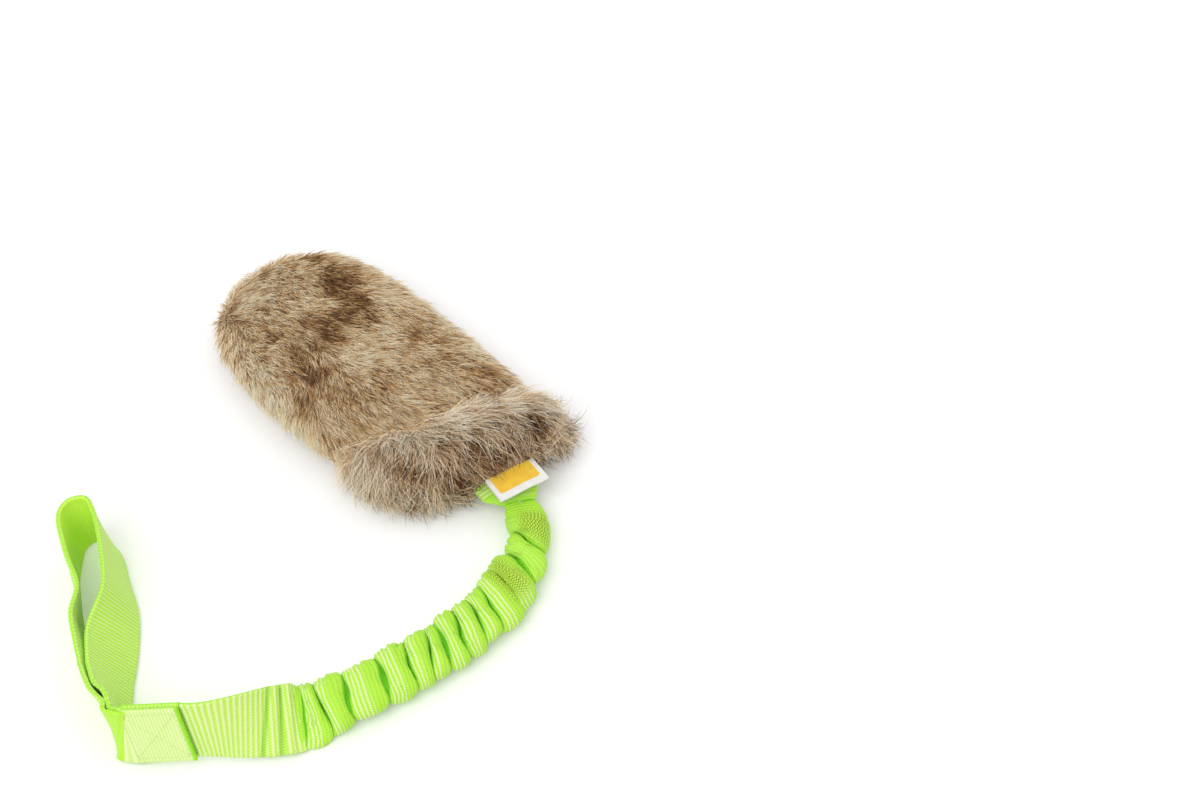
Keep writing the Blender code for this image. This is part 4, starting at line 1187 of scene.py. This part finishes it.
def creaseLine(x):
    # the closing stitch's y in mm at an x in mm: it slants down to the right
    return -63.0 - 0.41 * x


def napGrow(x, y):
    # the body's pile is longer where it fills the crease
    return 1 + 0.75 * bell((y - creaseLine(x) - 2) / 9)


def hemGrow(x, y):
    # the mouth's lip is clipped short over the label
    return 1 - (0.5 * bell((x - 13) / 17, 4) + 0.35 * bell((x + 6) / 9, 4)) * (y < -96)


# lengths in metres, clump and swirl cells in mm, angles in radians, and the rest are shares
napLook = {
    "grow": napGrow, "finish": napFinish, "seed": 5, "density": 1.7e6, "pieceCount": 19500, "knots": 3,
    "length": 0.0090, "lengthSpread": 0.25, "width": 0.00038, "sunk": 0.0006, "clump": 3.4, "gather": 0.42,
    "lift": 0.62, "liftSpread": 0.16, "endLift": 0.10, "rise": 0.0, "droop": 0.0, "curl": 0.15,
    "strays": 0.03, "swirl": 0.5, "swirlCell": 22.0, "clumpTurn": 0.22, "strandTurn": 0.12,
    "tone": 0.74, "toneSpread": 0.27, "clumpTone": 0.20, "cloud": 0.16, "streak": 0.30, "guardHairs": 0.13,
}
hemLook = {
    "grow": hemGrow, "finish": hemFinish, "seed": 8, "density": 1.9e6, "pieceCount": 8900, "knots": 5,
    "length": 0.0155, "lengthSpread": 0.35, "width": 0.00038, "sunk": 0.0006, "clump": 5.2, "gather": 0.55,
    "lift": 0.50, "liftSpread": 0.22, "endLift": -0.10, "rise": 0.6, "droop": 0.22, "curl": 0.7,
    "strays": 0.07, "swirl": 0.9, "swirlCell": 11.0, "clumpTurn": 0.45, "strandTurn": 0.22,
    "tone": 0.76, "toneSpread": 0.36, "clumpTone": 0.80, "cloud": 0.42, "streak": 0.50, "guardHairs": 0.15,
}
underLook = {**napLook, "seed": 13, "density": 0.9e6, "width": 0.0004, "length": 0.0085}
underHemLook = {**hemLook, "seed": 17, "density": 1.5e6}


def bodyNap(x, y, normal):
    # the nap runs to the mouth on top, and turns down over the rim and round the far end
    steep = np.clip(1 - np.abs(normal[:, 2]), 0, 1)
    toMouth = 1.8 * np.clip((normal[:, 1] - 0.5) * 3, 0, 1) - 1.0
    sideways = 0.18 + (0.25 * np.clip(x / 59, -1, 1) + 0.35 * softNoise(x, y, 30.0, 31))
    return np.stack([sideways, toMouth, -(0.2 + 0.8 * steep)], axis=1)


def hemNap(x, y, normal):
    return np.stack([0.9 * np.clip((x - 5) / 50, -1.2, 1.2), 0 * x - 1.0, 0 * x - 0.3], axis=1)


def millimetres(place):
    return place[:, 0] * 1000, place[:, 1] * 1000, place[:, 2] * 1000


def seamCap(place, facing):
    # the flat face where each panel is closed at the seam
    return (np.abs(place[:, 2] - route["seamHeight"]) < 0.0004) & (np.abs(facing[:, 2]) > 0.9)


def onBody(place, facing):
    x, y, _ = millimetres(place)
    ragged = 5 * softNoise(x, y, 6.0, 41)
    return ((y > creaseLine(x) - 9 + ragged) & ~seamCap(place, facing)).astype(float)


def onHem(place, facing):
    # the mouth around the strap stays free of roots
    x, y, z = millimetres(place)
    mouth = (np.abs(x - 10) < 17) & (y < -100) & (z > 7) & (z < 17)
    return ((y <= creaseLine(x)) & ~mouth & ~seamCap(place, facing)).astype(float)


def underHem(place, facing):
    return onHem(place, facing) * (0.25 + 0.75 * (facing[:, 2] > -0.6))


def buildPad():
    whole = swellPillow(pillowShape())
    top = halfPillow(whole, "fur_top_backing", True)
    bottom = halfPillow(whole, "fur_bottom_backing", False)
    bpy.data.objects.remove(whole)
    backing = skinMaterial()
    for piece, node in ((top, "fur_top_panel"), (bottom, "fur_bottom_panel")):
        piece.data.materials.clear()
        piece.data.materials.append(backing)
        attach(piece, "root")
        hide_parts(node)
    growPile("fur_nap_top", top, napLook, onBody, bodyNap, furPatches)
    growPile("fur_hem_top", top, hemLook, onHem, hemNap, hemPatches)
    growPile("fur_nap_bottom", bottom, underLook, onBody, bodyNap, furPatches)
    growPile("fur_hem_bottom", bottom, underHemLook, underHem, hemNap, hemPatches)


buildPad()
print("pad and its pile built")

# Label: a satin ribbon folded double at its outer end, with a bare amber panel woven into its face

label = {
    "width": 0.030, "length": 0.016, "cloth": 0.0004, "fold": 0.0008, "rootHeight": 0.0172, "short": 0.0007,
    "tilt": radians(5), "inset": 0.0022, "share": 0.14, "bow": 0.0002, "wave": 0.0004, "curl": 0.0008,
    # the panel, in mm on the face: its middle and half its size each way, and its corner
    "panelAcross": (0.0, 12.4), "panelAlong": (4.1, 7.1), "panelCorner": 1.4, "panelBlur": 0.12,
    "warpPitch": 0.32, "weftPitch": 0.42,
}


def labelMaterial():
    # warp-faced polyester satin in white, with an amber panel in a second weft
    made, add = newMaterial("wovenSatinLabel")
    across, along, _ = add("SeparateXYZ", add("UVMap", uv_map="face")).outputs
    corner = label["panelCorner"]
    parts = []
    for way, (middle, half) in ((across, label["panelAcross"]), (along, label["panelAlong"])):
        off = add("Math.SUBTRACT", add("Math.ABSOLUTE", add("Math.SUBTRACT", way, middle)), half - corner)
        parts.append(add("Math.POWER", add("Math.MAXIMUM", off, 0.0), 2.0))
    reach = add("Math.SQRT", add("Math.ADD", *parts))
    inside = add("MapRange", reach, corner - label["panelBlur"], corner + label["panelBlur"], 1.0, 0.0)
    pitches = ((across, label["warpPitch"]), (along, label["weftPitch"]))
    crossed = [add("Math.SINE", add("Math.MULTIPLY", way, 2 * pi / pitch)) for way, pitch in pitches]
    weave = add("Math.MULTIPLY", *crossed)
    cloud = add("TexNoise", add("TexCoord").outputs["Object"], 260.0, 3.0)
    white = add("Mix.RGBA", cloud, "#E9E7E0", "#FBFAF6")
    amber = add("Mix.RGBA", cloud, "#F0B90E", "#FFD433")
    shade = add("Math.MULTIPLY", add("Math.ADD", weave, 1.0), 0.06)
    colour = add("Mix.RGBA", shade, add("Mix.RGBA", inside, white, amber), "#A79A78")
    return finishMaterial(made, add, colour, 0.42, (weave, 0.35, 0.00008), {"Sheen Weight": 0.1})


def labelCorner():
    near, far = label["share"], label["share"] * 2
    first, second = [np.array([*padPlace(np.array(share), np.array(-1.0)), 0.0]) for share in (near, far)]
    seam = unit(second - first)
    out = np.array([seam[1], -seam[0], 0.0])
    return np.array([first[0], first[1], label["rootHeight"]]), seam, out


def labelSection():
    # outline of the folded cloth: x from its root, height, and mm run along the cloth
    lift = (label["fold"] + label["cloth"]) / 2
    tip = label["length"] - lift - label["short"]
    leg = np.linspace(-label["inset"], tip, 16)
    bend = np.linspace(pi / 2, -pi / 2, 9)[1:-1]
    upper = np.stack([leg, lift + label["bow"] * np.sin(pi * np.maximum(leg, 0) / tip)], axis=1)
    nose = np.stack([tip + lift * np.cos(bend), lift * np.sin(bend)], axis=1)
    lower = np.stack([leg[::-1], 0 * leg - lift], axis=1)
    line = np.vstack([upper, nose, lower])
    tangent = unit(np.gradient(line, axis=0))
    outward = np.stack([-tangent[:, 1], tangent[:, 0]], axis=1) * label["cloth"] / 2
    run = runAlong(line) - label["inset"]
    section = np.vstack([line + outward, (line - outward)[::-1], (line + outward)[:1]])
    return section, np.concatenate([run, 0.1 + run[::-1], run[:1]]) * 1000


def buildLabel():
    root, seam, out = labelCorner()
    slope = out * cos(label["tilt"]) + np.array([0, 0, sin(label["tilt"])])
    normal = np.cross(seam, slope)
    normal = normal if normal[2] > 0 else -normal
    section, marks = labelSection()
    across = np.linspace(-label["width"] / 2, label["width"] / 2, 34)[:, None]
    reach = section[None, :, 0] + 0 * across
    # a slight wave across it, and one corner that curls up
    wave = label["wave"] * np.sin(across * 230 + 0.9) * np.clip(reach / label["length"], 0, 1)
    corner = np.clip((across / (label["width"] / 2) - 0.55) / 0.45, 0, 1) ** 2
    height = section[None, :, 1] + wave + label["curl"] * corner * np.clip(reach / 0.012, 0, 1)
    points = root + seam * across[..., None] + slope * reach[..., None] + normal * height[..., None]
    face = np.stack([across * 1000 + 0 * marks, marks + 0 * across], axis=-1)
    piece = sheetFromGrid("label_cloth", points, {"face": face}, {}, labelMaterial())
    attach(piece, "label")
    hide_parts("label")


buildLabel()
print("label folded")

# Inner pieces keep their CAD solids, and each gets its own finish


def fibreMaterial(title, dark, pale, scale, stretch, rough):
    # loose polyester fibre, drawn out one way and tufted
    made, add = newMaterial(title)
    place = add("TexCoord").outputs["Object"]
    drawn = add("Mapping", {"Vector": place, "Scale": stretch})
    strands = add("TexNoise", {"Vector": drawn, "Scale": scale, "Detail": 4.0, "Distortion": 0.8})
    tufts = add("TexVoronoi", place, scale / 6)
    share = add("Math.ADD", add("Math.MULTIPLY", strands, 0.8), add("Math.MULTIPLY", tufts, 0.3))
    return finishMaterial(made, add, add("Mix.RGBA", share, dark, pale), rough, (share, 0.7, 0.0005))


def stripedCloth(title, ground, stripe, pitch, turn, rough):
    # woven band whose ribs lie straight across it
    made, add = newMaterial(title)
    place = add("TexCoord").outputs["Object"]
    x, y, _ = add("SeparateXYZ", place).outputs
    along = add("Math.ADD", add("Math.MULTIPLY", x, cos(turn)), add("Math.MULTIPLY", y, sin(turn)))
    wave = add("Math.COSINE", add("Math.MULTIPLY", along, 2 * pi / pitch))
    grain = add("TexNoise", place, 1500.0, 2.0)
    share = add("Math.ADD", add("Math.MULTIPLY", wave, 0.4), add("Math.MULTIPLY", grain, 0.8), use_clamp=True)
    return finishMaterial(made, add, add("Mix.RGBA", share, ground, stripe), rough, (share, 0.7, 0.0003))


def dressInnerPieces():
    wadding = fibreMaterial("polyesterWadding", "#D8D6D0", "#F6F5F2", 700.0, (1.0, 0.3, 1.0), 0.9)
    elastic = stripedCloth("braidedElastic", "#CFCBC0", "#F1EEE6", 0.0016, heading(0.6), 0.6)
    anchor = stripedCloth("wovenNylonAnchor", "#A8E82C", "#EAF8B4", 0.0026, route["startHeading"], 0.5)
    finishes = {
        "wadding": wadding, "strap_anchor": anchor, "elastic_near": elastic, "elastic_mid": elastic,
        "elastic_far": elastic, "side_seam_thread": brownThread, "closing_stitch_needle_thread": brownThread,
        "closing_stitch_bobbin_thread": brownThread,
    }
    for name, finish in finishes.items():
        partNodes[name].data.materials.clear()
        partNodes[name].data.materials.append(finish)
    # the middle and far lengths of elastic are copied into bands of their own in place of their parts, and
    # keep the parts' shape
    bend = (gathers["near"], gathers["bendEnd"], "bungee_near", "bungee_mid")
    stretch = (gathers["mid"], route["bungee"], "bungee_mid", "bungee_far")
    for name, (start, end, before, after) in (("elastic_mid", bend), ("elastic_far", stretch)):
        band = bpy.data.objects.new(f"{name}_band", partNodes[name].data.copy())
        bpy.context.scene.collection.objects.link(band)
        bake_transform(band)
        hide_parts(name)


dressInnerPieces()
print("inner pieces dressed")
